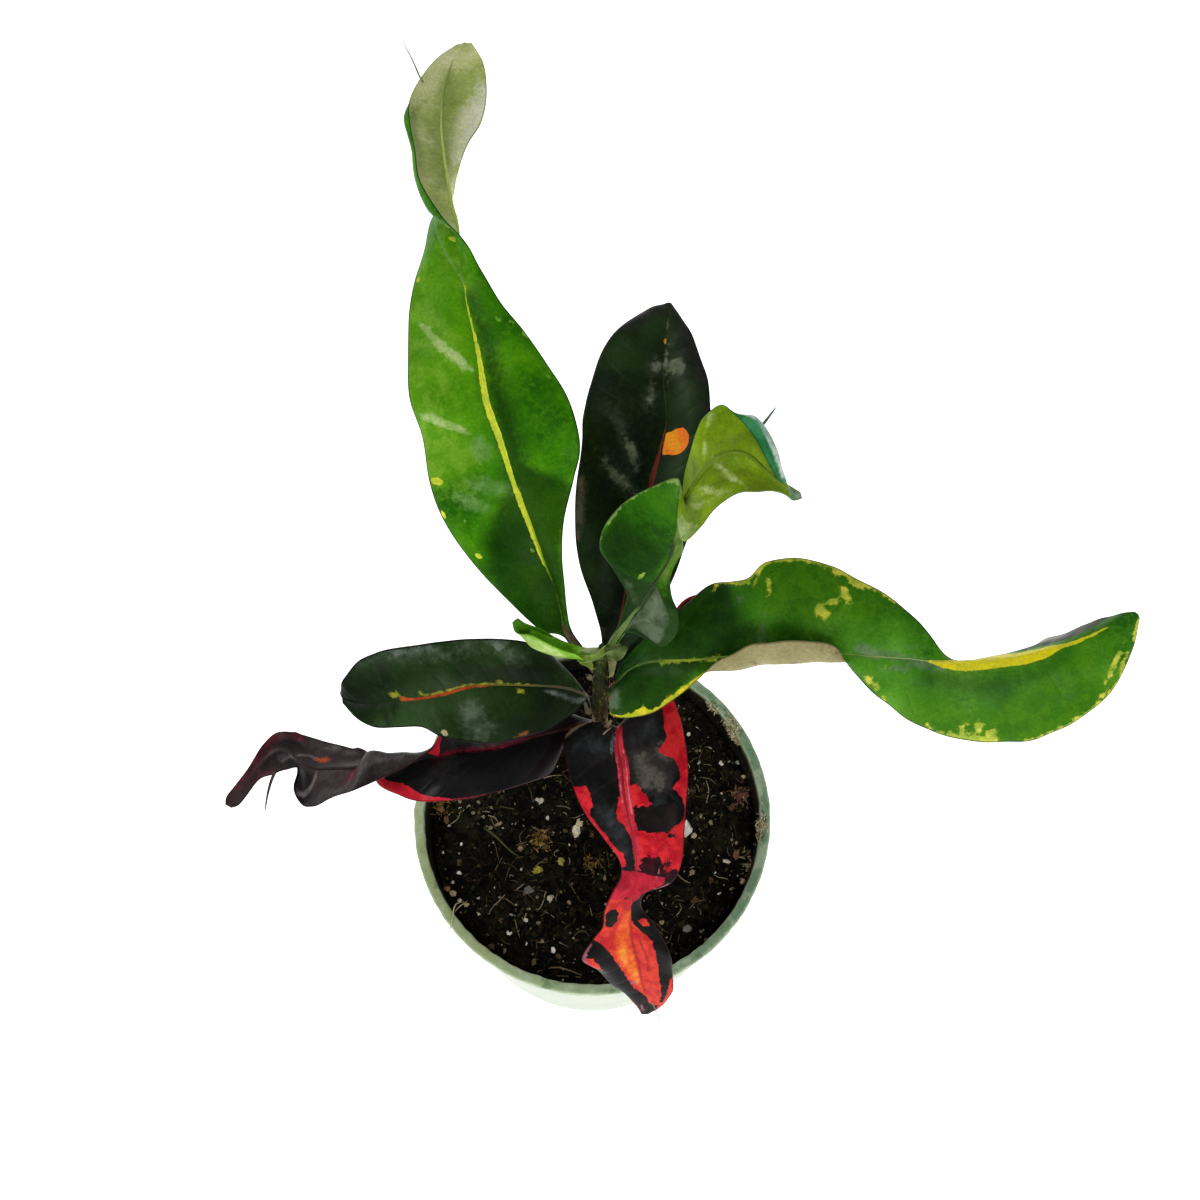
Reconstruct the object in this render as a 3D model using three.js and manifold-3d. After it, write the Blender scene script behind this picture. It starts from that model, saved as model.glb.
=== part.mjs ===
// Potted croton: a young variegated croton with nine leaves in a round nursery pot.
// Millimetres, +Z up. The origin is the centre of the pot's flat underside, on the
// plane that it rests on. +X is the plant's right and +Y its back, seen from the front.
import * as THREE from 'three';
import { mergeVertices } from 'three/addons/utils/BufferGeometryUtils.js';
import manifoldModule from 'manifold-3d';

const wasm = await manifoldModule();
wasm.setup();
const { Manifold, Mesh: SolidMesh } = wasm;

// nursery pot
const POT_HEIGHT = 90;
const RIM_OUTER_R = 52.5; // rolled rim, 105 mm across
const RIM_INNER_R = 49.6;
const RIM_DEPTH = 3;
const WALL_TOP_R = 50.3;
const BASE_R = 43;
const WALL = 1.2;
const FLOOR = 2;
const POT_SEGMENTS = 56;
const DRAIN_HOLES = 6;
const DRAIN_HOLE_R = 3.5;
const DRAIN_RING_R = 33;

// potting soil
const SOIL_LEVEL = 80;
const SEAT_GAP = 0.3; // clearance between pieces that rest in each other
const SOIL_EDGE_R = 47.6;
const SOIL_EDGE_DROP = 2.5;
const SOIL_RINGS = [7, 13, 19, 25, 31, 36, 40.5, 44.5, SOIL_EDGE_R];
const SOIL_SEGMENTS = 48;

// stem: its foot stands in a plain hole in the soil, then it leans back as it climbs
const STEM_SIDES = 10;
const STEM_FOOT_Z = 52;
const STEM_FOOT_R = 2.5;
const STEM_PATH = [ // x, y, z, radius
  [1.5, 2.5, STEM_FOOT_Z, STEM_FOOT_R],
  [1.5, 2.5, 84, STEM_FOOT_R],
  [1.7, 4, 100, 2.4],
  [2, 6.5, 122, 2.2],
  [2.2, 8.6, 142, 2.1],
  [2.3, 10.2, 155, 2],
  [2.3, 12.6, 169, 1.9],
  [2.4, 14.6, 182, 1.8],
  [2.6, 16, 192, 1.6],
  [2.8, 17, 198, 0.7],
];
const LEAF_NODE_Z = [151, 153, 163, 168, 174.5, 176, 185.5, 193]; // swollen where leaves join
const NODE_SWELL = 0.15;

// leaf blades
const BLADE_HALF = 0.35; // a blade is 0.7 mm thick
const RIB_DEPTH = 1.1; // raised midrib below the blade, fading toward the tip
const RIB_TIP_DEPTH = 0.4;
const RIB_REACH = 2.2; // half-breadth of the raised midrib
const CAMBER = 0.1; // rise of each half above a flat strip, per half-width
const ROW_STEP = 5.2; // spacing of cross-sections along a leaf
const ACROSS = [-1, -0.7, -0.4, -0.13, 0, 0.13, 0.4, 0.7, 1];

// Each leaf is a list of cross-sections from its foot at the stem to its tip. A row
// holds a point on the midrib (x, y, z), then the steps from it to the left margin and
// to the right margin, as seen from above while looking from the foot to the tip.
// rolled: a half that curls over passes through this point, given from the midrib.
// ribScale: a slighter midrib than the other leaves have.
const LEAVES = {
  leaf_back_long: {
    colour: 0x3f8a1e,
    rows: [
      [0.2, 16.2, 185, -0.5, -0.8, 0, 0.5, 0.8, 0],
      [-3, 18.5, 190.5, -0.6, -0.8, 0, 0.8, 0.8, 0],
      [-6.5, 21, 197, -1, -1, 0, 1.5, 0.5, 1],
      [-7.5, 25.5, 201, -5, -5, -1, 1.5, -0.5, 2],
      [-9, 30.5, 205, -11.5, -3.5, -2, 2.5, -1, 3],
      [-11.5, 35.5, 210, -16.5, -1.5, -3, 4.5, -1.5, 4],
      [-15, 43.5, 217, -20.5, 0, -5, 8.5, -2, 4],
      [-19, 52, 224, -20.5, 0.5, -5, 15, -2, 4],
      [-22, 59.5, 230, -19.5, 2.5, -5, 19.5, -3, 3],
      [-25, 67.5, 235, -19, 2, -4, 20, -1.5, 2],
      [-27, 77, 239, -17.5, 0.5, -3, 16.5, -1.5, 0],
      [-28.5, 83.5, 240, -16, 2, -3, 12.5, -0.5, 1],
      [-30, 90, 241, -14, 1.5, -3, 8.5, -0.5, 1],
      [-31, 96.5, 242, -12, 3, -4, 5, 0.5, 2],
      [-32.5, 104.5, 241, -9, 4, -5, 3, -3, 6],
      [-33, 111.5, 240, -7, 7.5, -8, 0.5, -6, 9],
      [-34.5, 118.5, 239, -1, 6.5, -9, -2, -7.5, 9],
      [-36, 127, 237, 2, 4, -5, -5, -6.5, 10],
      [-37.5, 137.5, 234, 5.5, 1, -2, -5.5, -6, 9],
      [-38.5, 148.5, 230, 10, -1, 0, -7, -3, 7],
      [-38.5, 160, 226, 11.5, -1.5, 2, -7.5, -2.5, 4],
      [-36.5, 172.5, 221, 8, -2.5, 3, -4.5, -1, 2],
      [-34, 180.5, 217, 2, 0, 0, -2, -0.5, 0],
    ],
    rolled: {
      right: {
        16: [-5.5, -3, 4], 17: [-6.5, -3, 5], 18: [-6.5, -3, 5], 19: [-8, -1.5, 4],
      },
    },
  },
  leaf_back_dark: {
    colour: 0x243022,
    rows: [
      [3.4, 16.4, 175.5, -0.9, 0.4, 0, 0.9, -0.4, 0],
      [4.6, 17.2, 179, -1.2, 0.6, 0, 1.2, -0.6, 0],
      [5.5, 18.5, 183, -2.5, 1, 1, 4.5, -0.5, -1],
      [6.5, 23, 188, -4, 0.5, 2, 7.5, -1, -1],
      [8, 29, 194, -7.5, 0, 2, 10, 0.5, 0],
      [10, 37.5, 201, -13, 0, 2, 12.5, 1, 1],
      [13, 47.5, 207, -17, -0.5, 2, 13.5, 0.5, 2],
      [15.5, 55.5, 211, -19, 1.5, 1, 13.5, 0.5, 3],
      [17.5, 64, 213, -19.5, 2.5, 1, 13, -0.5, 4],
      [19, 71, 215, -21, 1.5, 0, 11, 0.5, 4],
      [18.5, 79.5, 216, -18.5, 1, -1, 11, -0.5, 4],
      [18.5, 86, 216, -16, 3.5, -1, 9.5, -0.5, 3],
      [19, 93, 216, -11.5, 4, -1, 6.5, 1, 1],
      [19.5, 99.5, 215, -5, 3.5, -1, 3.5, 0.5, 0],
      [20, 105, 213, -0.8, -0.3, 0, 0.8, -0.3, 0],
    ],
  },
  leaf_top_twisted: {
    colour: 0x4a7a20,
    rows: [
      [4.5, 17.4, 192.5, -0.6, 0.8, 0, 0.6, -0.8, 0],
      [6, 19.5, 195.5, -0.7, 0.9, 0, 0.9, -0.9, 0],
      [8, 21.5, 198, -1, 1, 0, 1, -1, 0],
      [10.5, 24.5, 201, -2, 1.5, 2, 3.5, -5.5, -3],
      [12.5, 25.5, 205, -3.5, 2, 2, 5.5, -9, -6],
      [13.5, 26.5, 208, -6, 3.5, 2, 8, -8, -4],
      [15, 27.5, 211, -9.5, 5.5, 1, 6.5, -5.5, -2],
      [17, 29.5, 215, -14.5, 7.5, -1, 3, -4.5, -3],
      [19, 31.5, 219, -15.5, 9.5, 0, 0.5, -3, -3],
      [20, 33.5, 223, -11.5, 11, 3, 1, -1.5, -5],
      [21, 35.5, 228, -5.5, 10, 6, 1.5, -1, -9],
      [21.5, 37.5, 232, -1, 6.5, 10, 1, -1, -10],
      [22, 39, 236, -1.5, -1.5, 10, 0.5, 3, -10],
      [23, 40.5, 239, -2.5, -9, 6, -0.5, 7, -6],
      [24.5, 42.5, 241, -2.5, -14, 0, -1, 8.5, -1],
      [27, 45.5, 244, -1, -13, -4, -2, 9, 1],
      [30, 47.5, 246, -0.5, -11, -5, -3, 10, 2],
      [33.5, 48.5, 247, 1, -9, -4, -2, 11, 3],
      [37.5, 48, 246, 2, -7.5, -4, -0.5, 2.5, 9],
      [41.5, 45.5, 243, 1.5, -4, -3, -1, 0.5, 8],
      [45.5, 43.5, 240, 0.5, -2, -2, -1, -1, 4],
      [49, 42, 236, -0.6, -0.8, 0, 0.5, 0.7, 0],
    ],
    rolled: { right: { 18: [1, 7, 6], 19: [1.5, 4, 6], 20: [0, 1, 3] } },
  },
  leaf_right_long: {
    colour: 0x356f22,
    rows: [
      [5.1, 12.7, 174.5, 0.3, 1, 0, -0.3, -1, 0],
      [6, 12.4, 179, 0.4, 1.4, 0.5, -0.5, -1.6, 0],
      [7, 12.5, 182.5, 1, 4, 2, -2, -8, -2],
      [9.5, 15, 184, 3, 5.5, 4, -0.5, -11.5, -4],
      [14.5, 16.5, 186, 3.5, 8.5, 6, 0.5, -12.5, -4],
      [21.5, 16, 189, 3.5, 13.5, 7, -0.5, -9.5, -3],
      [27, 15.5, 191, 3.5, 17.5, 8, -0.5, -5.5, -1],
      [32.5, 15.5, 193, 3, 17.5, 8, -1, -3, 6],
      [37, 15.5, 194, 2.5, 18, 9, -1.5, -2, 9],
      [43, 15, 196, 1, 22, 8, -2.5, -0.5, 11],
      [50, 15.5, 197, 1, 22.5, 8, -2.5, -0.5, 11],
      [56, 15, 198, 3.5, 21, 7, -1.5, 0, 10],
      [62.5, 14.5, 199, 3.5, 18.5, 5, -2, -0.5, 7],
      [68, 14, 199, 5.5, 15, 4, -4.5, -2.5, 2],
      [73.5, 14, 198, 7, 10, 3, -5.5, -5.5, -3],
      [79.5, 14, 197, 6, 4.5, 2, -6, -9, -6],
      [86, 13.5, 196, 4.5, 2, -3, -6.5, -12, -9],
      [93, 13.5, 195, 4, 3.5, -10, -5.5, -15, -11],
      [100.5, 14, 195, 5, 5.5, -14, -4, -17.5, -12],
      [108, 15, 195, 5, 7, -14, -3, -19, -12],
      [115.5, 17, 195, 3.5, 7, -11, -1.5, -20, -11],
      [123, 19, 195, 2.5, 6.5, -7, -0.5, -18.5, -9],
      [129.5, 22, 195, 1.5, 4.5, -4, 2, -14.5, -6],
      [134.5, 24.5, 195, 0.5, 2.5, -1, 2.5, -7, -2],
      [138.5, 26, 196, -0.8, 0.7, 0, 0.3, -1, 0],
    ],
    rolled: {
      right: {
        7: [-1, -4, 2], 8: [-0.5, -4.5, 3], 9: [-0.5, -3.5, 4], 10: [-0.5, -4, 4],
        11: [-0.5, -3.5, 4], 12: [-1, -3, 3], 13: [-3, -2, 1],
      },
    },
  },
  leaf_left_broad: {
    colour: 0x22381f,
    rows: [
      [-0.6, 12, 163, 0, -1, 0, 0, 1, 0],
      [-1.6, 13.6, 166, 0, -1.6, 0, -0.5, 1.2, 0.5],
      [-4.5, 14.5, 168, 0, -6, -1, -1, 4, 2],
      [-9, 14.5, 171, -1, -10.5, -2, -2, 8.5, 3],
      [-16, 14, 174, -0.5, -13, -2, -1, 10.5, 4],
      [-23.5, 13.5, 176, -1, -15.5, -1, -1.5, 11, 5],
      [-31.5, 12.5, 178, 0.5, -15, 0, -2.5, 11.5, 4],
      [-39, 10, 179, 1, -12, 2, -3, 12.5, 4],
      [-44.5, 9, 179, 1, -7.5, -1, -4.5, 12.5, 4],
      [-49.5, 8.5, 179, -0.5, -6.5, -3, -6, 12, 3],
      [-55, 8, 178, -1, -5.5, -3, -5.5, 10, 3],
      [-60.5, 8.5, 177, 0, -4, -1, -3.5, 5.5, 2],
      [-64.5, 10, 176, 0.3, -1.5, 0, -0.5, 1.5, 0],
    ],
  },
  leaf_left_purple: {
    colour: 0x33272c,
    rows: [
      [-0.5, 10.2, 152, 0, -1, 0, 0, 1, 0],
      [-2, 9.8, 154, 0, -1.3, 0, -0.3, 1.3, 0],
      [-5, 8, 156.5, -2, -4, -1.5, -2, 4, 1],
      [-10.5, 6, 158, 0.5, -10, -2.5, -2, 8, 2],
      [-15.5, 4, 160.5, -1, -12.5, 0, -3, 10, 3],
      [-22, 1, 163, -2, -13, 2, -3, 12.5, 3],
      [-29, -0.5, 164, -2.5, -14, 3, -3, 11.5, 4],
      [-36, -1, 164, -3, -14.5, 4, -2, 7, 4],
      [-41, -2.5, 164, -4, -12.5, 2, 0, 1.5, 5],
      [-45.5, -3.5, 163, -4.5, -9, -1, 2, -0.5, 7],
      [-50, -4, 162, -5, -4.5, -5, 3, -2.5, 8],
      [-54, -4.5, 161, -4.5, 0.5, -7, 2.5, -3.5, 7],
      [-58.5, -4, 160, -3, 4, -6, 1.5, -6, 6],
      [-63.5, -4, 158, -1, 6.5, -5, 0, -7.5, 5],
      [-68.5, -3.5, 156, -1, 8, -4, -0.5, -9.5, 4],
      [-73, -3, 154, -1.5, 9.5, -4, -0.5, -11, 3],
      [-76.5, -1, 152, -2, 9, -3, -1, -11.5, 2],
      [-79.5, 1, 151, -1.5, 8, -3, 1.5, -3.5, 1],
      [-83, 3.5, 149, -2.5, 5.5, -2, 0.5, -5.5, 0],
      [-87.5, 2.5, 146, -2, 3.5, -1, 1, -5, 0],
      [-92, -1, 142, -1.5, 1.5, 0, 1.5, -2, 0],
      [-96, -5, 138, -1.5, 1.5, 0, 1, -2, 0],
      [-100, -8, 134, -0.7, 0.7, 0, 0.8, -0.8, 0],
    ],
    rolled: {
      right: {
        9: [0.5, 2, 4], 10: [1, 1.5, 5], 11: [1, 2, 4], 12: [0.5, 2, 3],
      },
    },
  },
  leaf_front_red: {
    colour: 0x8a2b31,
    rows: [
      [5.2, 7.7, 151, 0.7, 0.7, 0, -0.7, -0.7, 0],
      [6.8, 7.8, 154.5, 1, 0.7, 0, -1, -0.7, 0],
      [7, 6.5, 157, 10, 5, 1, -7.5, 1.4, 3.5],
      [7, 1.5, 158, 16.5, 8.5, 2, -14, 2.3, 4.5],
      [8, -4, 158, 17, 6, 2, -14.5, 0.4, 4],
      [8.5, -9.5, 157, 17, 3.5, 2, -13, -0.8, 3],
      [9.5, -15, 155, 15.5, 1, 2, -11, -1, 1],
      [11, -20.5, 152, 13.5, -0.5, 2, -8, -0.5, 0],
      [12, -25.5, 148, 12, -1.5, 2, -5, 0, 0],
      [12, -30, 144, 9.5, -2, 2, -4, 0.5, 0],
      [11, -33.5, 140, 3.5, -0.5, 2, -5.5, -0.5, 2],
      [10.5, -36.5, 136, 3, 0, -1, -7, -1.5, 1],
      [10.5, -40, 131, 6.5, 0, -1, -7.5, -1, 0],
      [11, -44, 126, 9, 0, -1, -11, 0, 0],
      [12.5, -47.5, 120, 9.5, -0.5, -1, -15, -0.5, 1],
      [13.5, -51.5, 114, 9, -0.5, -2, -10.5, 0.5, 0],
      [15, -55, 107, 7, -0.5, -1, -6.5, 0.5, 0],
      [16, -57.5, 101, 3, -0.5, 0, -3.5, 0, 0],
      [15, -59, 97, 1, 0, 0, -1, 0, 0],
    ],
  },
  leaf_bud_folded: {
    colour: 0x6aa332,
    ribScale: 0.4,
    rows: [
      [0.5, 15.2, 194, -0.4, -1, 0, 0.2, 1, 0.2],
      [-1, 14.4, 197, 0, -1.9, 0.8, -0.2, 2, 0.8],
      [-3, 13.5, 199, -0.3, -0.9, 5, 0, 1.9, 3.5],
      [-7, 13.5, 200, 0.5, -0.7, 7, 1, 2.1, 5],
      [-11, 13.5, 203, 1, -0.2, 7, 2, 2.5, 5],
      [-15, 14.5, 206, 0.5, 0.5, 6, 2, 2.8, 4.5],
      [-17.5, 17, 210, -0.9, -1, 1.4, 1.2, 1.6, 1.2],
      [-18.5, 18.5, 213, -0.7, -0.6, 0, 0.7, 0.6, 0],
    ],
    rolled: {
      left: { 2: [0, -1.2, 2], 3: [0.2, -1.2, 3], 4: [0.3, -1, 3.2], 5: [-0.4, -0.6, 2.6] },
      right: { 2: [0, 1.5, 1], 3: [0.5, 1.9, 1.6], 4: [1.1, 2.2, 1.8], 5: [1.4, 2.2, 1.6] },
    },
  },
  leaf_under_short: {
    colour: 0x3a2a2a,
    rows: [
      [4.7, 13.8, 167.5, -0.5, 0.9, 0, 0.5, -0.9, 0],
      [6.5, 15.2, 170.5, -0.6, 1, 0, 0.8, -1, 0],
      [10.5, 18, 173, -1, 2, 1, 1.5, -2.5, -1],
      [16.5, 21.5, 176, -1.5, 3.5, 1, 3, -4, -2],
      [23, 25, 178, -3, 5.5, 2, 3.5, -4.5, -2],
      [29.5, 28, 179, -4.5, 7.5, 2, 3.5, -6, -2],
      [35.5, 30.5, 179, -3, 7, 2, 3.5, -6.5, -1],
      [41.5, 32, 178, -2, 4.5, 2, 2.5, -5, 0],
      [47.5, 33, 177, -0.5, 1, 0, 0, -0.9, 0],
    ],
  },
};

const paint = (colour, roughness) => new THREE.MeshStandardMaterial({ color: colour, roughness });
const group = new THREE.Group();
group.name = 'potted_croton';

function addNode(name, geometry, material) {
  geometry.computeVertexNormals();
  const node = new THREE.Mesh(geometry, material);
  node.name = name;
  group.add(node);
}

function geometryOf(points, triangles) {
  const geometry = new THREE.BufferGeometry();
  const flat = points.flatMap((p) => [p.x, p.y, p.z]);
  geometry.setAttribute('position', new THREE.Float32BufferAttribute(flat, 3));
  geometry.setIndex(triangles);
  return geometry;
}

// Weld a geometry's vertices, drop triangles that weld to nothing, make it a solid.
function solidOf(geometry) {
  const bare = new THREE.BufferGeometry();
  bare.setAttribute('position', geometry.getAttribute('position'));
  bare.setIndex(geometry.getIndex());
  const welded = mergeVertices(bare, 1e-4);
  const index = welded.getIndex().array;
  const kept = [];
  for (let i = 0; i < index.length; i += 3) {
    const [a, b, c] = [index[i], index[i + 1], index[i + 2]];
    if (a !== b && b !== c && c !== a) kept.push(a, b, c);
  }
  return new Manifold(new SolidMesh({
    numProp: 3,
    vertProperties: new Float32Array(welded.getAttribute('position').array),
    triVerts: new Uint32Array(kept),
  }));
}

function geometryFromSolid(solid) {
  const mesh = solid.getMesh();
  const geometry = new THREE.BufferGeometry();
  geometry.setAttribute('position', new THREE.BufferAttribute(mesh.vertProperties, 3));
  geometry.setIndex(new THREE.BufferAttribute(mesh.triVerts, 1));
  return geometry;
}

// Join rings of points, each closed on itself, into a tube with flat ends.
function tube(rings) {
  const sides = rings[0].length;
  const points = rings.flat();
  const triangles = [];
  for (let i = 0; i + 1 < rings.length; i += 1) {
    for (let j = 0; j < sides; j += 1) {
      const k = (j + 1) % sides;
      const [a, b, c, d] = [i * sides + j, i * sides + k, (i + 1) * sides + k, (i + 1) * sides + j];
      triangles.push(a, b, c, a, c, d);
    }
  }
  const last = (rings.length - 1) * sides;
  for (let j = 1; j + 1 < sides; j += 1) {
    triangles.push(0, j + 1, j, last, last + j, last + j + 1);
  }
  return geometryOf(points, triangles);
}

const mix = (a, b, t) => a + (b - a) * t;
const wallRadius = (z) => mix(BASE_R, WALL_TOP_R, z / (POT_HEIGHT - RIM_DEPTH));

function buildPot() {
  const under = POT_HEIGHT - RIM_DEPTH;
  const profile = [
    [0, 0], [BASE_R - 0.8, 0], [BASE_R, 0.8], [WALL_TOP_R, under],
    [RIM_OUTER_R - 0.3, under], [RIM_OUTER_R, under + 0.8], [RIM_OUTER_R, POT_HEIGHT - 0.8],
    [RIM_OUTER_R - 0.7, POT_HEIGHT], [RIM_INNER_R + 0.6, POT_HEIGHT],
    [RIM_INNER_R, POT_HEIGHT - 0.7], [WALL_TOP_R - WALL, under - 2],
    [wallRadius(FLOOR) - WALL, FLOOR], [0, FLOOR],
  ].map(([r, z]) => new THREE.Vector2(r, z));
  const shell = new THREE.LatheGeometry(profile, POT_SEGMENTS);
  shell.rotateX(Math.PI / 2);
  let pot = solidOf(shell);
  for (let i = 0; i < DRAIN_HOLES; i += 1) {
    const angle = (i + 0.5) * 2 * Math.PI / DRAIN_HOLES;
    const hole = new THREE.CylinderGeometry(DRAIN_HOLE_R, DRAIN_HOLE_R, FLOOR * 4, 14);
    hole.rotateX(Math.PI / 2);
    hole.translate(DRAIN_RING_R * Math.cos(angle), DRAIN_RING_R * Math.sin(angle), FLOOR / 2);
    pot = pot.subtract(solidOf(hole));
  }
  addNode('nursery_pot', geometryFromSolid(pot), paint(0xb9ccb0, 0.55));
}

// Lumps in the soil: long swells, shorter ones across them, and a drop to the wall.
function soilHeight(x, y) {
  const swell = 1.1 * Math.sin(0.16 * x + 0.9) * Math.cos(0.13 * y - 0.4);
  const lumps = 0.7 * Math.sin(0.41 * x + 0.29 * y) * Math.cos(0.37 * y - 0.22 * x + 1.3);
  const crumbs = 0.35 * Math.sin(1.13 * x + 0.7) * Math.sin(0.97 * y + 0.31 * x);
  const t = Math.min(1, Math.max(0, (Math.hypot(x, y) - 38) / (SOIL_EDGE_R - 38)));
  return SOIL_LEVEL + swell + lumps + crumbs - SOIL_EDGE_DROP * t * t * (3 - 2 * t);
}

function buildSoil() {
  const bottom = FLOOR + SEAT_GAP;
  const clear = (z) => wallRadius(z) - WALL - SEAT_GAP - 0.1;
  const ring = (radius, height) => Array.from({ length: SOIL_SEGMENTS }, (_, j) => {
    const angle = j * 2 * Math.PI / SOIL_SEGMENTS;
    const [x, y] = [radius * Math.cos(angle), radius * Math.sin(angle)];
    return new THREE.Vector3(x, y, height ?? soilHeight(x, y));
  });
  const sides = [ring(0.5, bottom), ring(clear(bottom), bottom), ring(clear(40), 40), ring(SOIL_EDGE_R, 74)];
  const top = [...SOIL_RINGS].reverse().map((radius) => ring(radius));
  const body = tube([...sides, ...top, ring(0.5)]);
  const hole = new THREE.CylinderGeometry(
    STEM_FOOT_R + SEAT_GAP + 0.25, STEM_FOOT_R + SEAT_GAP + 0.25, 60, 16);
  hole.rotateX(Math.PI / 2);
  hole.translate(STEM_PATH[0][0], STEM_PATH[0][1], STEM_FOOT_Z - SEAT_GAP + 30);
  addNode('potting_soil', geometryFromSolid(solidOf(body).subtract(solidOf(hole))), paint(0x1c1712, 0.95));
}

// A rounded path through points by Catmull-Rom, knots spread by the root of the chord.
function smoothRows(rows, stepsBetween) {
  const count = rows.length;
  const chord = (i) => rows[i].reduce((s, p, k) => s + p.distanceTo(rows[i + 1][k]), 0) / rows[i].length;
  const gaps = Array.from({ length: count - 1 }, (_, i) => Math.sqrt(chord(i)));
  const slope = (i, k) => rows[i + 1][k].clone().sub(rows[i][k]).divideScalar(gaps[i]);
  const tangent = (i, k) => {
    if (i === 0) return slope(0, k);
    if (i === count - 1) return slope(count - 2, k);
    const total = gaps[i - 1] + gaps[i];
    return slope(i - 1, k).multiplyScalar(gaps[i] / total)
      .add(slope(i, k).multiplyScalar(gaps[i - 1] / total));
  };
  const out = [];
  for (let i = 0; i + 1 < count; i += 1) {
    const steps = stepsBetween(chord(i));
    for (let s = 0; s < steps; s += 1) {
      const t = s / steps;
      const [t2, t3] = [t * t, t * t * t];
      out.push(rows[i].map((p, k) => p.clone().multiplyScalar(2 * t3 - 3 * t2 + 1)
        .addScaledVector(tangent(i, k), (t3 - 2 * t2 + t) * gaps[i])
        .addScaledVector(rows[i + 1][k], -2 * t3 + 3 * t2)
        .addScaledVector(tangent(i + 1, k), (t3 - t2) * gaps[i])));
    }
  }
  out.push(rows[count - 1]);
  return out;
}

// The five lines that a blade is drawn over: left margin, middle of the left half,
// midrib, middle of the right half, right margin.
function bladeLines({ rows, rolled = {} }) {
  const ribs = rows.map((r) => new THREE.Vector3(r[0], r[1], r[2]));
  return rows.map((r, i) => {
    const along = ribs[Math.min(i + 1, ribs.length - 1)].clone().sub(ribs[Math.max(i - 1, 0)]);
    const left = new THREE.Vector3(r[3], r[4], r[5]);
    const right = new THREE.Vector3(r[6], r[7], r[8]);
    const up = right.clone().sub(left).cross(along).normalize();
    const middle = (half, turned) => (turned
      ? ribs[i].clone().add(new THREE.Vector3(...turned))
      : ribs[i].clone().addScaledVector(half, 0.5).addScaledVector(up, half.length() * CAMBER));
    return [
      ribs[i].clone().add(left), middle(left, rolled.left?.[i]), ribs[i].clone(),
      middle(right, rolled.right?.[i]), ribs[i].clone().add(right),
    ];
  });
}

function acrossBlade(lines, v) {
  const t = Math.abs(v);
  const [middle, edge] = v < 0 ? [lines[1], lines[0]] : [lines[3], lines[4]];
  return lines[2].clone().multiplyScalar((1 - t) * (1 - 2 * t))
    .addScaledVector(middle, 4 * t * (1 - t)).addScaledVector(edge, t * (2 * t - 1));
}

// A closed blade: the same triangles on the upper and the lower face, and an edge round it.
function bladeGeometry(leaf) {
  const lines = smoothRows(bladeLines(leaf), (chord) => Math.max(1, Math.round(chord / ROW_STEP)));
  const grid = lines.map((row) => ACROSS.map((v) => acrossBlade(row, v)));
  const [rowCount, width] = [grid.length, ACROSS.length];
  const at = (i, j) => grid[Math.min(Math.max(i, 0), rowCount - 1)][Math.min(Math.max(j, 0), width - 1)];
  const upper = [];
  const lower = [];
  for (let i = 0; i < rowCount; i += 1) {
    const fade = (1 - i / (rowCount - 1)) ** 2;
    const depth = (RIB_TIP_DEPTH + RIB_DEPTH * fade) * (leaf.ribScale ?? 1);
    for (let j = 0; j < width; j += 1) {
      const along = at(i + 1, j).clone().sub(at(i - 1, j));
      const across = at(i, j + 1).clone().sub(at(i, j - 1));
      const normal = across.cross(along).normalize();
      const reach = at(i, j).distanceTo(at(i, (width - 1) / 2));
      const rib = depth * Math.max(0, 1 - reach / RIB_REACH);
      upper.push(at(i, j).clone().addScaledVector(normal, BLADE_HALF));
      lower.push(at(i, j).clone().addScaledVector(normal, -BLADE_HALF - rib));
    }
  }
  const under = upper.length;
  const triangles = [];
  for (let i = 0; i + 1 < rowCount; i += 1) {
    for (let j = 0; j + 1 < width; j += 1) {
      const [a, b, c, d] = [i * width + j, i * width + j + 1, (i + 1) * width + j + 1, (i + 1) * width + j];
      triangles.push(a, b, c, a, c, d, under + a, under + c, under + b, under + a, under + d, under + c);
    }
  }
  const edge = (a, b) => triangles.push(a, under + a, under + b, a, under + b, b);
  const end = rowCount - 1;
  for (let j = 0; j + 1 < width; j += 1) {
    edge(j, j + 1);
    edge(end * width + j + 1, end * width + j);
  }
  for (let i = 0; i < end; i += 1) {
    edge((i + 1) * width, i * width);
    edge(i * width + width - 1, (i + 1) * width + width - 1);
  }
  return geometryOf([...upper, ...lower], triangles);
}

function buildStem() {
  const path = STEM_PATH.map(([x, y, z, r]) => [new THREE.Vector3(x, y, z), new THREE.Vector3(r, 0, 0)]);
  const rows = smoothRows(path, (chord) => Math.max(1, Math.round(chord / 3.5)));
  const rings = rows.map(([centre, size], i) => {
    const next = rows[Math.min(i + 1, rows.length - 1)][0];
    const along = next.clone().sub(rows[Math.max(i - 1, 0)][0]).normalize();
    const side = new THREE.Vector3(1, 0, 0).addScaledVector(along, -along.x).normalize();
    const back = along.clone().cross(side);
    const swell = LEAF_NODE_Z.reduce((s, z) => s + Math.exp(-(((centre.z - z) / 1.8) ** 2)), 0);
    const radius = Math.max(0.3, size.x * (1 + NODE_SWELL * Math.min(1, swell) * (centre.z > 140 ? 1 : 0)));
    return Array.from({ length: STEM_SIDES }, (_, j) => {
      const angle = j * 2 * Math.PI / STEM_SIDES;
      return centre.clone().addScaledVector(side, radius * Math.cos(angle))
        .addScaledVector(back, radius * Math.sin(angle));
    });
  });
  addNode('stem', tube(rings), paint(0x5f6b35, 0.7));
}

buildPot();
buildSoil();
buildStem();
for (const [name, leaf] of Object.entries(LEAVES)) {
  addNode(name, bladeGeometry(leaf), paint(leaf.colour, 0.4));
}

export default group;
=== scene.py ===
"""Potted croton: the fine look of the plant, its soil and its pot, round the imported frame.

Lengths in the tables and functions below are millimetres. piece() turns them into metres.
"""
import math

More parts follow.
